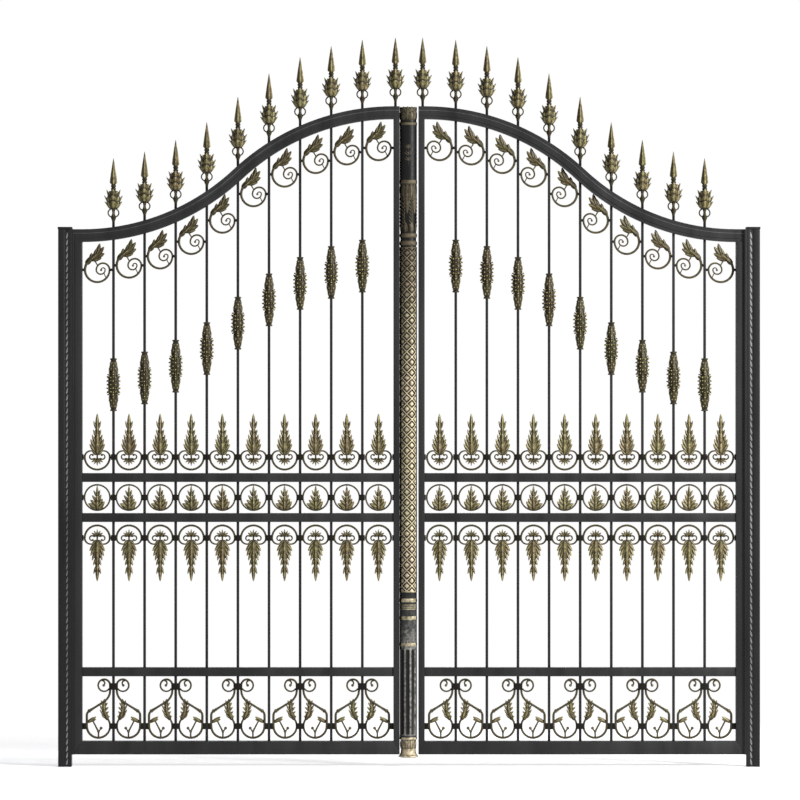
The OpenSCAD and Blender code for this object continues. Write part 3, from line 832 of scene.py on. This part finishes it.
def leaf_scroll(bm):
    foot = math.radians(140)
    scroll(bm, (RING * math.cos(foot), RING * math.sin(foot)), 230,
           [(100, RING, 11), (120, RING, 9.5), (180, HALF_TURNS[0], 8), (180, HALF_TURNS[1], 6.5),
            (190, HALF_TURNS[2], 5)], 13, 11)
    bead(bm, (17.5, -1), 5.4, 0.9)
    straight(bm, (29, -14), (41, -38), 5, 7)
    straight(bm, (-13, 44), (3, 17), 7, 8, 5.5)
    # the leaf: broad lobes from its foot on the ring to its tip, then the points at its edge
    lobes(bm, (-52, 24, -16, 62, 27, 12, 0, -0.1), (-32, 42, 20, 84, 36, 13, 0, 0.04),
          (-6, 56, 17, 117, 26, 12, 0.08, -0.08), share=0.55)
    lobes(bm, (-32, 46, -25, 77, 16, 9, 0.12), (-14, 58, -3, 96, 18, 9, 0.12),
          (0, 62, 31, 104, 22, 10, 0.14), (-6, 54, 33, 74, 23, 10, 0.1),
          (-22, 42, 20, 52, 19, 10, 0.08), share=0.7)
    # the midrib, proud of the leaf on both faces
    for y in (-5, 5):
        lobe(bm, (-44, y, 32), (2, y, 74), 9, 7)
        lobe(bm, (-6, y, 64), (16, y * 0.6, 106), 7, 6)


scroll_mesh = one_casting(leaf_scroll)
print("leaf scroll", len(scroll_mesh.polygons), "faces")


# %% Leaf scrolls in their panels
def place_in_panels(bm, mesh, height_over, turn=Matrix.Identity(4)):
    """Stamps a casting into all panels, with height_over(x) as its origin's height."""
    for i in range(panels):
        stamp(bm, mesh, at(panel_x(i), height_over(panel_x(i))), turn)


TAB_H = 12.0
TAB_DEPTH = 13.0
COLLAR_REACH = 11.5
COLLAR_H = 26.0
COLLAR_DEPTH = 19.0


def collars(bm, middle):
    """Collars that wrap every bar and clasp the rings beside it; half ones stand at the stiles."""
    for i in range(panels + 1):
        x0, x1 = bar_x(i) - COLLAR_REACH, bar_x(i) + COLLAR_REACH
        if i == 0:
            x0, x1 = open_x - 0.5, open_x + COLLAR_REACH - bar / 2
        if i == panels:
            x0, x1 = close_x - COLLAR_REACH + bar / 2, close_x + 0.5
        block(bm, x0, x1, middle - COLLAR_H / 2, middle + COLLAR_H / 2, COLLAR_DEPTH)


def leaf_scrolls(bm):
    """The castings, and the tabs that fill the way from a ring to the iron on both sides."""
    place_in_panels(bm, scroll_mesh, lambda x: rail_edge(x) - scroll_drop)
    for i in range(panels):
        x = panel_x(i)
        z = rail_edge(x) - scroll_drop
        left, right = panel_sides(i)
        for x0, x1 in ((left - 0.5, x - RING - 2), (x + RING + 2, right + 0.5)):
            block(bm, x0, x1, z - TAB_H / 2, z + TAB_H / 2, TAB_DEPTH)


LEAF_TIP = 113.0
scroll_drop = rail_edge(panel_x(panels - 1)) + LEAF_TIP - high("left_leaf_scrolls").z
print("leaf scrolls hang", round(scroll_drop, 1), "mm down")
castings(leaf_scrolls)

# %% [markdown]
# ## Finials over and under the band
#
# A finial stands in an open C: one bar whose two ends curl inwards at the top. From their meeting
# grows a leafy spear of paired lobes, and inside the C hang a star and two small hooks.
# The same casting stands on the upper rail and hangs, turned over, from the middle rail.


# %% One finial
C_ROOM = 7.5
C_RING = pitch / 2 - bar / 2 - C_ROOM
C_MIDDLE = 15.5 + C_RING
ARM = 28.0


def finial_half(bm):
    """The right half: hook, three points of the star, and the leaf tiers from the lowest up."""
    scroll(bm, (15, 66), -50, [(130, 11, 7), (122, 11, 5)], 7.5, 8)
    bead(bm, (20.5, 81.5), 5.4)
    lobes(bm, (2, 63, 27, 51, 11, 8, 0.1, 0.1), (1, 62, 15, 39, 9, 7, 0.08), (1, 60, 17, 68, 8, 7, 0.08))
    for root_x, root_z, tip_x, tip_z, width in (
        (2, 82, 27, 101, 15), (6, 94, 38, 128, 18), (8, 110, 34, 151, 17), (6, 130, 27, 172, 15),
        (2, 160, 21, 194, 13), (2, 196, 20, 233, 12)
    ):
        lobes(bm, (root_x, root_z, tip_x, tip_z, width, 9, 0.1, -0.1))


finial_half_mesh = one_casting(finial_half)


def finial(bm):
    arm_end = math.radians(40)
    start = (ARM - C_RING + ARM * math.cos(arm_end), C_MIDDLE + ARM * math.sin(arm_end))
    scroll(bm, start, 130, [(140, ARM, 10), (180, C_RING, 10), (140, ARM, 6)], 6, 6.5)
    stamp(bm, finial_half_mesh)
    stamp(bm, finial_half_mesh, MIRROR_X)
    straight(bm, (0, 60), (0, 100), 8, 9)
    lobes(bm, (0, 66, 0, 32, 9, 8), (0, 82, 0, 176, 58, 12), (0, 150, 0, 215, 26, 10),
          (0, 190, 0, 268, 20, 10))
    midribs(bm, (84, 142, 1.5, 19, 8), (120, 184, 1.4, 16, 8), (165, 226, 1, 12, 7))
    for y in RIB_FACES:
        star_middle = bmesh.ops.create_icosphere(bm, subdivisions=1, radius=5)["verts"]
        bmesh.ops.translate(bm, vec=(0, y, 66), verts=star_middle)


finial_mesh = one_casting(finial)
crest_floor = high("left_upper_rail").z
pendant_ceiling = low("left_middle_rail").z


def crest_finials(bm):
    place_in_panels(bm, finial_mesh, lambda x: crest_floor)
    collars(bm, crest_floor + C_MIDDLE)


def pendant_finials(bm):
    place_in_panels(bm, finial_mesh, lambda x: pendant_ceiling, MIRROR_Z)
    collars(bm, pendant_ceiling - C_MIDDLE)


castings(crest_finials)
castings(pendant_finials)

# %% [markdown]
# ## The band of rings
#
# Between the two rails each panel holds a ring with an upright leaf. The leaf's foot spreads along
# the ring, and its pairs of lobes get shorter towards the tip.


# %% One ring with its leaf
def ring_leaf(bm):
    section = bmesh.ops.create_circle(bm, segments=8, radius=0.5)["verts"]
    gild(bm, section, BAR_GILDING)
    size = Matrix.Translation((C_RING + 0.7, 0, 0)) @ Matrix.Diagonal((7.8, 10, 1, 1))
    bmesh.ops.transform(bm, matrix=size, verts=section)
    edges = list({e for v in section for e in v.link_edges})
    bmesh.ops.spin(bm, geom=section + edges, cent=(0, 0, 0), axis=(0, 1, 0), angle=math.tau,
                   steps=40, use_merge=True, use_duplicate=False)
    bmesh.ops.remove_doubles(bm, verts=bm.verts[:], dist=0.001)
    lobes(bm, (1, -52, 37, -22, 24, 10, 0.1, -0.12), (1, -38, 28, -8, 20, 9, 0.1, -0.1),
          (1, -20, 21, 12, 16, 8, 0.1, -0.08), (1, 2, 15, 34, 12, 7, 0.08, -0.06),
          (4, -56, 27, -42, 18, 9), sides=BOTH)
    lobes(bm, (0, 12, 0, 54, 12, 8), (0, -54, 0, 8, 30, 10))
    midribs(bm, (-56, -14, 1.4, 15, 8), (-26, 14, 1.2, 12, 7), (0, 38, 1, 9, 6))


ring_mesh = one_casting(ring_leaf)
band_middle = (high("left_middle_rail").z + low("left_upper_rail").z) / 2


def rings(bm):
    place_in_panels(bm, ring_mesh, lambda x: band_middle)
    collars(bm, band_middle)


castings(rings)

# %% [markdown]
# ## S scrolls in the kick panels
#
# Two mirrored S scrolls share every second bar. Each is one bar again: a small curl at the top with
# a hook inside it, a straight slope out to a knot, and a big ring at the bottom that ends in a leaf.
# A sprout with its own bead grows up inside the ring. Collars clasp the scrolls and their bar.

# %% One S scroll
KICK_SIDE = 15.0
KICK_RING = 52.5
KICK_CURL = 27.0
KICK_NECK = 60.0
KICK_ELBOW = 24.0
KICK_LEAN = 58.0
kick_floor = high("left_bottom_rail").z
kick_h = low("left_kick_rail").z - kick_floor
ring_z = 13.5 + KICK_RING
curl_z = kick_h - 14.5 - KICK_CURL
neck_z = curl_z - 23


def slope_ends():
    """The upper and lower end of an S scroll's straight slope, as (x, z)."""
    lean = math.radians(KICK_LEAN)
    upper = (-KICK_SIDE - KICK_NECK * (1 - math.cos(lean)), neck_z - KICK_NECK * math.sin(lean))
    far = -KICK_SIDE - 2 * KICK_RING
    lower_x = far + KICK_ELBOW * (1 - math.cos(lean))
    return upper, (lower_x, upper[1] - (upper[0] - lower_x) / math.tan(lean))


def kick_scroll(bm):
    upper, lower = slope_ends()
    elbow_z = lower[1] - KICK_ELBOW * math.sin(math.radians(KICK_LEAN))
    curl_x = -KICK_SIDE - KICK_CURL
    mid_x = -KICK_SIDE - KICK_RING
    inner = math.radians(320)
    start = (curl_x + KICK_CURL * math.cos(inner), curl_z + KICK_CURL * math.sin(inner))
    scroll(bm, start, 230, [
        (-320, KICK_CURL, 10.5), (0, 23, 10.5), (-KICK_LEAN, KICK_NECK, 10.5),
        (0, math.dist(upper, lower), 10.5), (KICK_LEAN, KICK_ELBOW, 11.5),
        (0, elbow_z - ring_z, 11.5), (215, KICK_RING, 9.5)
    ], 7.5, 10)
    bead(bm, start, 4.6)
    scroll(bm, (curl_x - 12, curl_z + 22), 10, [(-150, 12.5, 7)], 9, 9)
    bead(bm, (curl_x - 2, curl_z), 6.4, 0.9)
    for knot, radius in ((lower, 8.5), (upper, 6.5)):
        bead(bm, knot, radius, 0.85)
    along = Vector((upper[0] - lower[0], 0, upper[1] - lower[1])).normalized()
    for offset, radius in ((11, 6.8), (20, 6.0)):
        bead(bm, (lower[0] + along.x * offset, lower[1] + along.z * offset), radius, 0.9)
    # the leaf at the ring's end, with its points towards the bar and away from it
    lobes(bm, (-25, 92, -48, 150, 24, 12, 0, -0.06), (-42, 114, -44, 190, 21, 11, 0, 0.04))
    for place in ((-36, 108, -16, 108), (-42, 118, -19, 130), (-44, 134, -20, 150),
                  (-46, 150, -24, 170), (-46, 164, -28, 188)):
        lobes(bm, (*place, 12, 8, 0.15, -0.1))
    for place in ((-36, 102, -56, 118), (-42, 116, -64, 139), (-46, 136, -64, 161),
                  (-46, 156, -58, 182)):
        lobes(bm, (*place, 11, 8, 0.12, 0.1))
    for y in RIB_FACES:
        lobes(bm, (-28, 96, -46, 160, 7, 6), y=y)
    # the sprout inside the ring: a stem that forks to a bead and to a leaf
    fork_z = ring_z - 25
    straight(bm, (mid_x, ring_z - KICK_RING + 2), (mid_x, fork_z + 3), 8, 8)
    straight(bm, (mid_x, fork_z), (mid_x - 27, ring_z + 27), 9, 8, 7)
    straight(bm, (mid_x, fork_z - 2), (mid_x + 10, ring_z - 12), 7, 7, 6)
    bead(bm, (mid_x + 12, ring_z - 9), 7, 0.85)
    bead(bm, (mid_x, fork_z + 1), 6.8, 0.9)
    lobes(bm, (mid_x - 50, ring_z + 16, mid_x - 10, ring_z + 43, 18, 9, 0.1),
          (mid_x - 40, ring_z + 22, mid_x - 10, ring_z + 31, 14, 8, 0.1))


kick_mesh = one_casting(kick_scroll)


def kick_scrolls(bm):
    """Pairs of scrolls, a collar at their rings and one at their curls, and tabs at both sides."""
    far = KICK_SIDE + 2 * KICK_RING + 2
    for i in range(1, panels, 2):
        x = bar_x(i)
        stamp(bm, kick_mesh, at(x, kick_floor))
        stamp(bm, kick_mesh, at(x, kick_floor), MIRROR_X)
        z = kick_floor + ring_z
        for middle, half in ((z, 13), (kick_floor + curl_z - 5, 15)):
            block(bm, x - KICK_SIDE - 5, x + KICK_SIDE + 5, middle - half, middle + half, 17)
        for x0, x1 in ((panel_sides(i - 1)[0] - 0.5, x - far), (x + far, panel_sides(i)[1] + 0.5)):
            block(bm, x0, x1, z - 14, z + 14, 14)


castings(kick_scrolls)

# %% [markdown]
# ## The column
#
# The column stands where the leaves meet and rides on the left one, and its gold is the brightest of
# all. Its core is turned. Along the lower shaft it is fluted: the spin has enough steps for a land, a
# hollow and the slopes between, and every vertex there is drawn in to the depth of its flute.

# %% The column's core
column_x = (low("column_tube").x + high("column_tube").x) / 2
column_y = (low("column_tube").y + high("column_tube").y) / 2
column_r = (high("column_rings").y - low("column_rings").y) / 2
tube_r = (high("column_tube").x - low("column_tube").x) / 2
tube_low = low("column_tube").z
tube_high = high("column_tube").z
lattice_low = low("column_lattice").z
lattice_high = high("column_lattice").z
core_r = tube_r - 3.0
shaft_high = 540.0
leaves_low, leaves_high = 2405.0, 2618.0
FLUTES = 9
FLUTE_R = 14.0
FLUTE_DEEP = 5.5
FIRST_RIB = 15.0
LEAST_TONE = 0.42
FADE_LOW, FADE_RUN = 1700.0, 1100.0


def column_piece(bm, name, material, stands_for=()):
    """Moves a piece drawn about the column's axis into place; it rides on the left leaf. The gold
    on it gets fainter towards the top."""
    layer = bm.verts.layers.float["gilding"]
    for v in bm.verts:
        v[layer] *= min(1.0, max(LEAST_TONE, 1.0 - (v.co.z - FADE_LOW) / FADE_RUN))
    bmesh.ops.translate(bm, vec=(column_x, column_y, 0), verts=bm.verts[:])
    finished(bm, name, material, "left_leaf", stands_for)


def flute(bm, z0, z1):
    """Draws the shaft's surface in between two heights and gilds the ribs that are left."""
    layer = bm.verts.layers.float["gilding"]
    away = tube_r + FLUTE_R - FLUTE_DEEP
    for v in bm.verts:
        if not z0 - 1 < v.co.z < z1 + 1 or v.co.xy.length < tube_r - 1:
            continue
        from_rib = math.degrees(math.atan2(v.co.x, -v.co.y)) - FIRST_RIB
        off = math.radians(from_rib % (360 / FLUTES) - 180 / FLUTES)
        v[layer] = 0.75
        if z0 + 1 < v.co.z < z1 - 1 and abs(away * math.sin(off)) < FLUTE_R:
            drawn_in = away * math.cos(off) - math.sqrt(FLUTE_R ** 2 - (away * math.sin(off)) ** 2)
            if drawn_in < tube_r - 0.1:
                v.co.x *= drawn_in / tube_r
                v.co.y *= drawn_in / tube_r
                v[layer] = 0.1


bm = fresh()
turned_shape(bm, [
    (0, tube_low), (tube_r, tube_low), (tube_r, tube_low + 11), (tube_r, tube_low + 17),
    (tube_r, shaft_high - 17), (tube_r, shaft_high - 11), (tube_r, lattice_low - 2),
    (core_r, lattice_low), (core_r, leaves_high), (tube_r, leaves_high + 2), (tube_r, tube_high),
    (0, tube_high)
], 72, 0.12)
flute(bm, tube_low + 11, shaft_high - 11)
column_piece(bm, "column_core", shaft_grey, ["column_tube"])

# %% [markdown]
# The long sleeve is a lattice of ribs with a pillow in each diamond. A wrapped sheet is easiest to
# draw flat: one diamond is inset four times to make rib, groove and pillow, copied until it tiles
# the sleeve, and then rolled round the tube. The rows run past both ends and are cut off there.

# %% Lattice sleeve
AROUND = 5
DIAMOND_H = 47.0
SLEEVE_R = 35.0
RIB_PROUD = 4.3
PILLOW_TURN = 25.0
diamond_w = math.tau * SLEEVE_R / AROUND
diamond_rows = round((lattice_high - lattice_low) / DIAMOND_H)
diamond_h = (lattice_high - lattice_low) / diamond_rows


def rolled(verts, radius):
    """Rolls what is drawn flat, facing the front, round the upright axis."""
    for v in verts:
        angle = v.co.x / radius
        out = radius - v.co.y
        v.co = Vector((math.sin(angle) * out, -math.cos(angle) * out, v.co.z))


def diamond(bm):
    """One flat diamond of the lattice with its rib, groove and pillow, gilded where it is proud."""
    verts = bmesh.ops.create_circle(bm, cap_ends=True, segments=4, radius=1)["verts"]
    for v in verts:
        v.co = Vector((v.co.x * diamond_w / 2, -RIB_PROUD, v.co.y * diamond_h / 2))
    face = verts[0].link_faces[0]
    bmesh.ops.subdivide_edges(bm, edges=face.edges[:], cuts=1)
    for thickness, depth in ((1.9, 0.0), (1.6, -RIB_PROUD), (1.2, 0.0), (3.0, 2.6), (3.2, 1.2)):
        bmesh.ops.inset_individual(bm, faces=[face], thickness=thickness, depth=depth,
                                   use_even_offset=True)
    bmesh.ops.poke(bm, faces=[face], offset=0.3)
    layer = bm.verts.layers.float["gilding"]
    for v in bm.verts:
        v[layer] = min(1.0, -v.co.y / RIB_PROUD)


def cut_off(bm, z, above):
    """Cuts the sheet at z, drops what is above or below, and closes the end."""
    cut = bmesh.ops.bisect_plane(
        bm, geom=bm.verts[:] + bm.edges[:] + bm.faces[:], dist=0.001, plane_co=(0, 0, z),
        plane_no=(0, 0, 1), clear_outer=above, clear_inner=not above)["geom_cut"]
    bmesh.ops.holes_fill(bm, edges=[g for g in cut if isinstance(g, bmesh.types.BMEdge)], sides=0)


diamond_mesh = one_casting(diamond)
bm = fresh()
for row in range(2 * diamond_rows + 1):
    for k in range(AROUND):
        across = (k + (row % 2) / 2) * diamond_w + math.radians(PILLOW_TURN) * SLEEVE_R
        stamp(bm, diamond_mesh, at(across, lattice_low + row * diamond_h / 2, 0))
rolled(bm.verts, SLEEVE_R)
bmesh.ops.remove_doubles(bm, verts=bm.verts[:], dist=0.01)
cut_off(bm, lattice_low, False)
cut_off(bm, lattice_high, True)
column_piece(bm, "column_lattice_cast", column_gold, ["column_lattice"])

# %% [markdown]
# Round mouldings part the column into its lengths. Two of them, over the lattice, are bulbs.


# %% Mouldings
def moulding(bm, top, height, out, step_in=1.5):
    """A half-round ring below top, between two steps."""
    middle = top - height / 2
    rise = 0.36 * height
    step = out - step_in
    turned_shape(bm, [(0, top - height), (step, top - height)]
                 + [(step + step_in * math.sin(math.radians(a)), middle - rise * math.cos(math.radians(a)))
                    for a in range(0, 181, 30)]
                 + [(step, top), (0, top)], 40, 0.75)


bm = fresh()
outer = column_r - 0.3
for top, height in ((tube_high, 18), (leaves_high + 24, 24), (lattice_low - 30, 24),
                    (lattice_low - 110, 24), (shaft_high + 20, 20)):
    moulding(bm, top, height, outer)
for top, height in ((leaves_low, 32), (leaves_low - 34, 34)):
    moulding(bm, top, height, outer, 6.5)
for top in (lattice_low, lattice_high + 4):
    moulding(bm, top, 6, outer, 1)
for k in range(3):
    moulding(bm, lattice_low - 60 - 9 * k, 6, outer - 0.6, 0.8)
column_piece(bm, "column_rings_cast", column_gold, ["column_rings"])

# %% [markdown]
# The capital is a bell wrapped in two rows of leaves whose tips roll outwards under its rim, and the
# foot is a flared disc with a band of leaves above it.

# %% Capital and foot
bm = fresh()
capital = tube_high
turned_shape(bm, [
    (0, 0), (36, 0), (37, 3), (35.5, 8), (35, 16), (35, 42), (36, 54), (37, 58), (37, 63), (35, 66),
    (0, 66)
], 32, 0.15, capital)
crown(bm, 6, -65, (34, capital + 4), (37, capital + 44), 30, 8, curl=0.03)
crown(bm, 6, -35, (34, capital + 8), (37, capital + 52), 24, 7, curl=0.03)
crown(bm, 12, -65, (34, capital + 38), (36, capital + 69), 18, 7, curl=0.06)
crown(bm, 12, -50, (34, capital + 36), (36, capital + 60), 13, 7, curl=0.06)
column_piece(bm, "column_capital_cast", column_gold, ["column_capital"])

bm = fresh()
foot = low("column_base").z
disc_r = (high("column_base").y - low("column_base").y) / 2
turned_shape(bm, [
    (0, 0), (disc_r - 6, 0), (disc_r - 1.5, 1.5), (disc_r, 4), (disc_r - 0.6, 7.5), (disc_r - 3, 9),
    (38.5, 10), (39, 12.5), (37.8, 15), (35, 20), (33.4, 28), (33, 36), (33, 78), (37.5, 80),
    (39.4, 83), (39.4, 88), (38.2, 91), (0, 91)
], 48, 0.85, foot)
crown(bm, 9, -65, (33, foot + 38), (35.5, foot + 78), 22, 7, curl=0.02)
crown(bm, 9, -45, (32, foot + 38), (34.5, foot + 70), 12, 6)
column_piece(bm, "column_base_cast", column_gold, ["column_base"])

# %% [markdown]
# Leaves lie on the column in three places: a spray on the plain tube, long leaves that hang from
# the ring, and a calyx and upright laurel twigs over the bulbs. The flat ones are drawn flat and
# rolled round the tube as the lattice is.


# %% Leaves on the column
def spray(bm):
    """A spray of small leaves for the plain tube."""
    for z, reach in ((2790, 17), (2762, 23), (2735, 18)):
        lobes(bm, (1, z - 14, reach, z + 6, 12, 5, 0.02, -0.12),
              (1, z - 10, reach * 0.6, z + 15, 9, 5, 0.02), sides=BOTH, y=0.5)
        lobes(bm, (0, z - 16, 0, z + 14, 9, 6), y=0.5)
    straight(bm, (0, 2708), (0, 2790), 4, 4, 3)
    rolled(bm.verts, tube_r - 1.2)


TWIG_LOW, TWIG_STEP, TWIG_PAIRS = 2424.0, 17.0, 8


def laurel_twig(bm):
    """An upright twig with pairs of narrow leaves."""
    straight(bm, (0, TWIG_LOW), (0, TWIG_LOW + TWIG_PAIRS * TWIG_STEP), 3, 5, 2)
    for k in range(TWIG_PAIRS):
        z = TWIG_LOW + k * TWIG_STEP
        for side in BOTH:
            lobe(bm, (0.5 * side, -0.5, z), (10 * side, -1, z + 19), 8, 6, bend=-0.08, sides=6, rings=5)
    rolled(bm.verts, core_r)


spray_mesh = one_casting(spray)
twig_mesh = one_casting(laurel_twig)
bm = fresh()
for turn in (0, 180):
    stamp(bm, spray_mesh, about_axis(turn))
for k in range(6):
    stamp(bm, twig_mesh, about_axis(22 + 60 * k))
crown(bm, 6, -98, (36, leaves_high + 4), (36.5, leaves_high - 132), 27, 7)
crown(bm, 6, -68, (35.5, leaves_high + 4), (36, leaves_high - 66), 22, 8)
crown(bm, 8, -65, (35.5, leaves_low - 3), (36.5, leaves_low + 44), 22, 7, curl=0.02)
column_piece(bm, "column_leaves", column_gold)

# %% [markdown]
# ## Rope mouldings on the posts
#
# Each post has a groove down its face with a rope in it, a row of slanted strands. Hundreds of them
# are needed, so a strand is a plain sphere of a few dozen faces, drawn long and leaned over.
# The strands are black iron like the post, and their light grey paint is a painted highlight.


# %% Ropes in the grooves
STRAND_PITCH = 30.0
STRAND_W = 11.0
ROPE_X = 41.5
ROPE_LEAN = 16.0
GROOVE = 4.0


def rope(bm, x, y, z0, z1, lean):
    """A rope from z0 to z1: strands that overlap like fingers."""
    count = int((z1 - z0) / STRAND_PITCH)
    step = (z1 - z0) / count
    for k in range(count):
        verts = bmesh.ops.create_uvsphere(bm, u_segments=8, v_segments=6, radius=0.5)["verts"]
        size = Matrix.Diagonal((STRAND_W, 8, step * 1.28, 1))
        place = Matrix.Translation((x, y, z0 + (k + 0.5) * step))
        tilt = Matrix.Rotation(math.radians(lean), 4, "Y")
        bmesh.ops.transform(bm, matrix=place @ tilt @ size, verts=verts)


for side, sign in (("left", 1), ("right", -1)):
    post = f"{side}_post"
    outer_x = low(post).x if side == "left" else high(post).x
    bm = bmesh.new()
    for face_y in (low(post).y + GROOVE, high(post).y - GROOVE):
        rope(bm, outer_x + sign * ROPE_X, face_y, 8, high(post).z - 12, ROPE_LEAN * sign)
    # painted highlight: the strands take light grey paint, not the post's black
    finished(bm, f"{side}_post_rope", rope_grey, "posts")

# %% [markdown]
# ## Floor, backdrop and light
#
# The floor is pale and fades to white with distance, and the sky behind the open ironwork is plain
# white where it is seen or reflected, so that it lights nothing. A large lamp far to the right gives
# the spear blades and the column their light and dark sides, a weak one from the left keeps the
# hollows readable, and one behind the gate lights its back.


# %% Floor
WHITE = (1.0, 1.0, 1.0, 1.0)
FLOOR_GLOW = 0.4


def seen_rays(tree):
    """One for rays from the camera and for those that gloss or glass sends on, else zero."""
    path = node(tree, "ShaderNodeLightPath").outputs
    seen = calc(tree, "MAXIMUM", path["Is Camera Ray"], path["Is Glossy Ray"])
    return calc(tree, "MAXIMUM", seen, path["Is Transmission Ray"])


def pale_floor():
    """A pale ground that takes the shadow and turns into plain white further off."""
    material, tree, shader = blank_material("pale_floor")
    feed(tree, shader, base_color=(0.86, 0.86, 0.86, 1.0), roughness=0.9)
    place = node(tree, "ShaderNodeTexCoord").outputs["Object"]
    away = node(tree, "ShaderNodeVectorMath", operation="LENGTH", vector=place).outputs["Value"]
    white = node(tree, "ShaderNodeEmission", color=WHITE, strength=1.0)
    glow = node(tree, "ShaderNodeEmission", color=WHITE,
                strength=calc(tree, "MULTIPLY", seen_rays(tree), FLOOR_GLOW))
    lit = joined(tree, "ShaderNodeAddShader", shader, glow)
    mix = joined(tree, "ShaderNodeMixShader", lit, white, fac=span(tree, away, 1.8, 3.6, 0.0, 1.0))
    tree.links.new(mix.outputs["Shader"], tree.nodes["Material Output"].inputs["Surface"])
    return material


bm = bmesh.new()
bmesh.ops.create_circle(bm, cap_ends=True, segments=96, radius=9.0)
floor = added("floor", as_mesh(bm, "floor"))
floor.data.materials.append(pale_floor())
floor.location = (view_centre.x, 0.0, 0.0)
print("floor laid")


# %% World and lamps
def lamp(name, place, aim, power, size):
    """A square soft lamp."""
    data = bpy.data.lights.new(name, "AREA")
    data.energy = power
    data.size = size
    made = added(name, data)
    made.location = place
    made.rotation_euler = (Vector(aim) - Vector(place)).to_track_quat("-Z", "Y").to_euler()


world = bpy.data.worlds.new("studio")
world.use_nodes = True
bpy.context.scene.world = world
tree = world.node_tree
sky = tree.nodes["Background"]
feed(tree, sky, color=(0.9, 0.93, 1.0, 1.0), strength=0.2)
shown = node(tree, "ShaderNodeBackground", color=WHITE, strength=1.0)
mix = joined(tree, "ShaderNodeMixShader", sky, shown, fac=seen_rays(tree))
tree.links.new(mix.outputs["Shader"], tree.nodes["World Output"].inputs["Surface"])
aim = (view_centre.x, 0.0, 1.5)
lamp("key", (8.5, -4.6, 4.5), aim, 1400, 2.0)
lamp("fill", (-4.0, -7.0, 2.5), aim, 30, 4.0)
lamp("back", (1.5, 6.0, 5.0), aim, 200, 4.0)
bpy.context.scene.view_settings.view_transform = "Standard"
print("lights set")
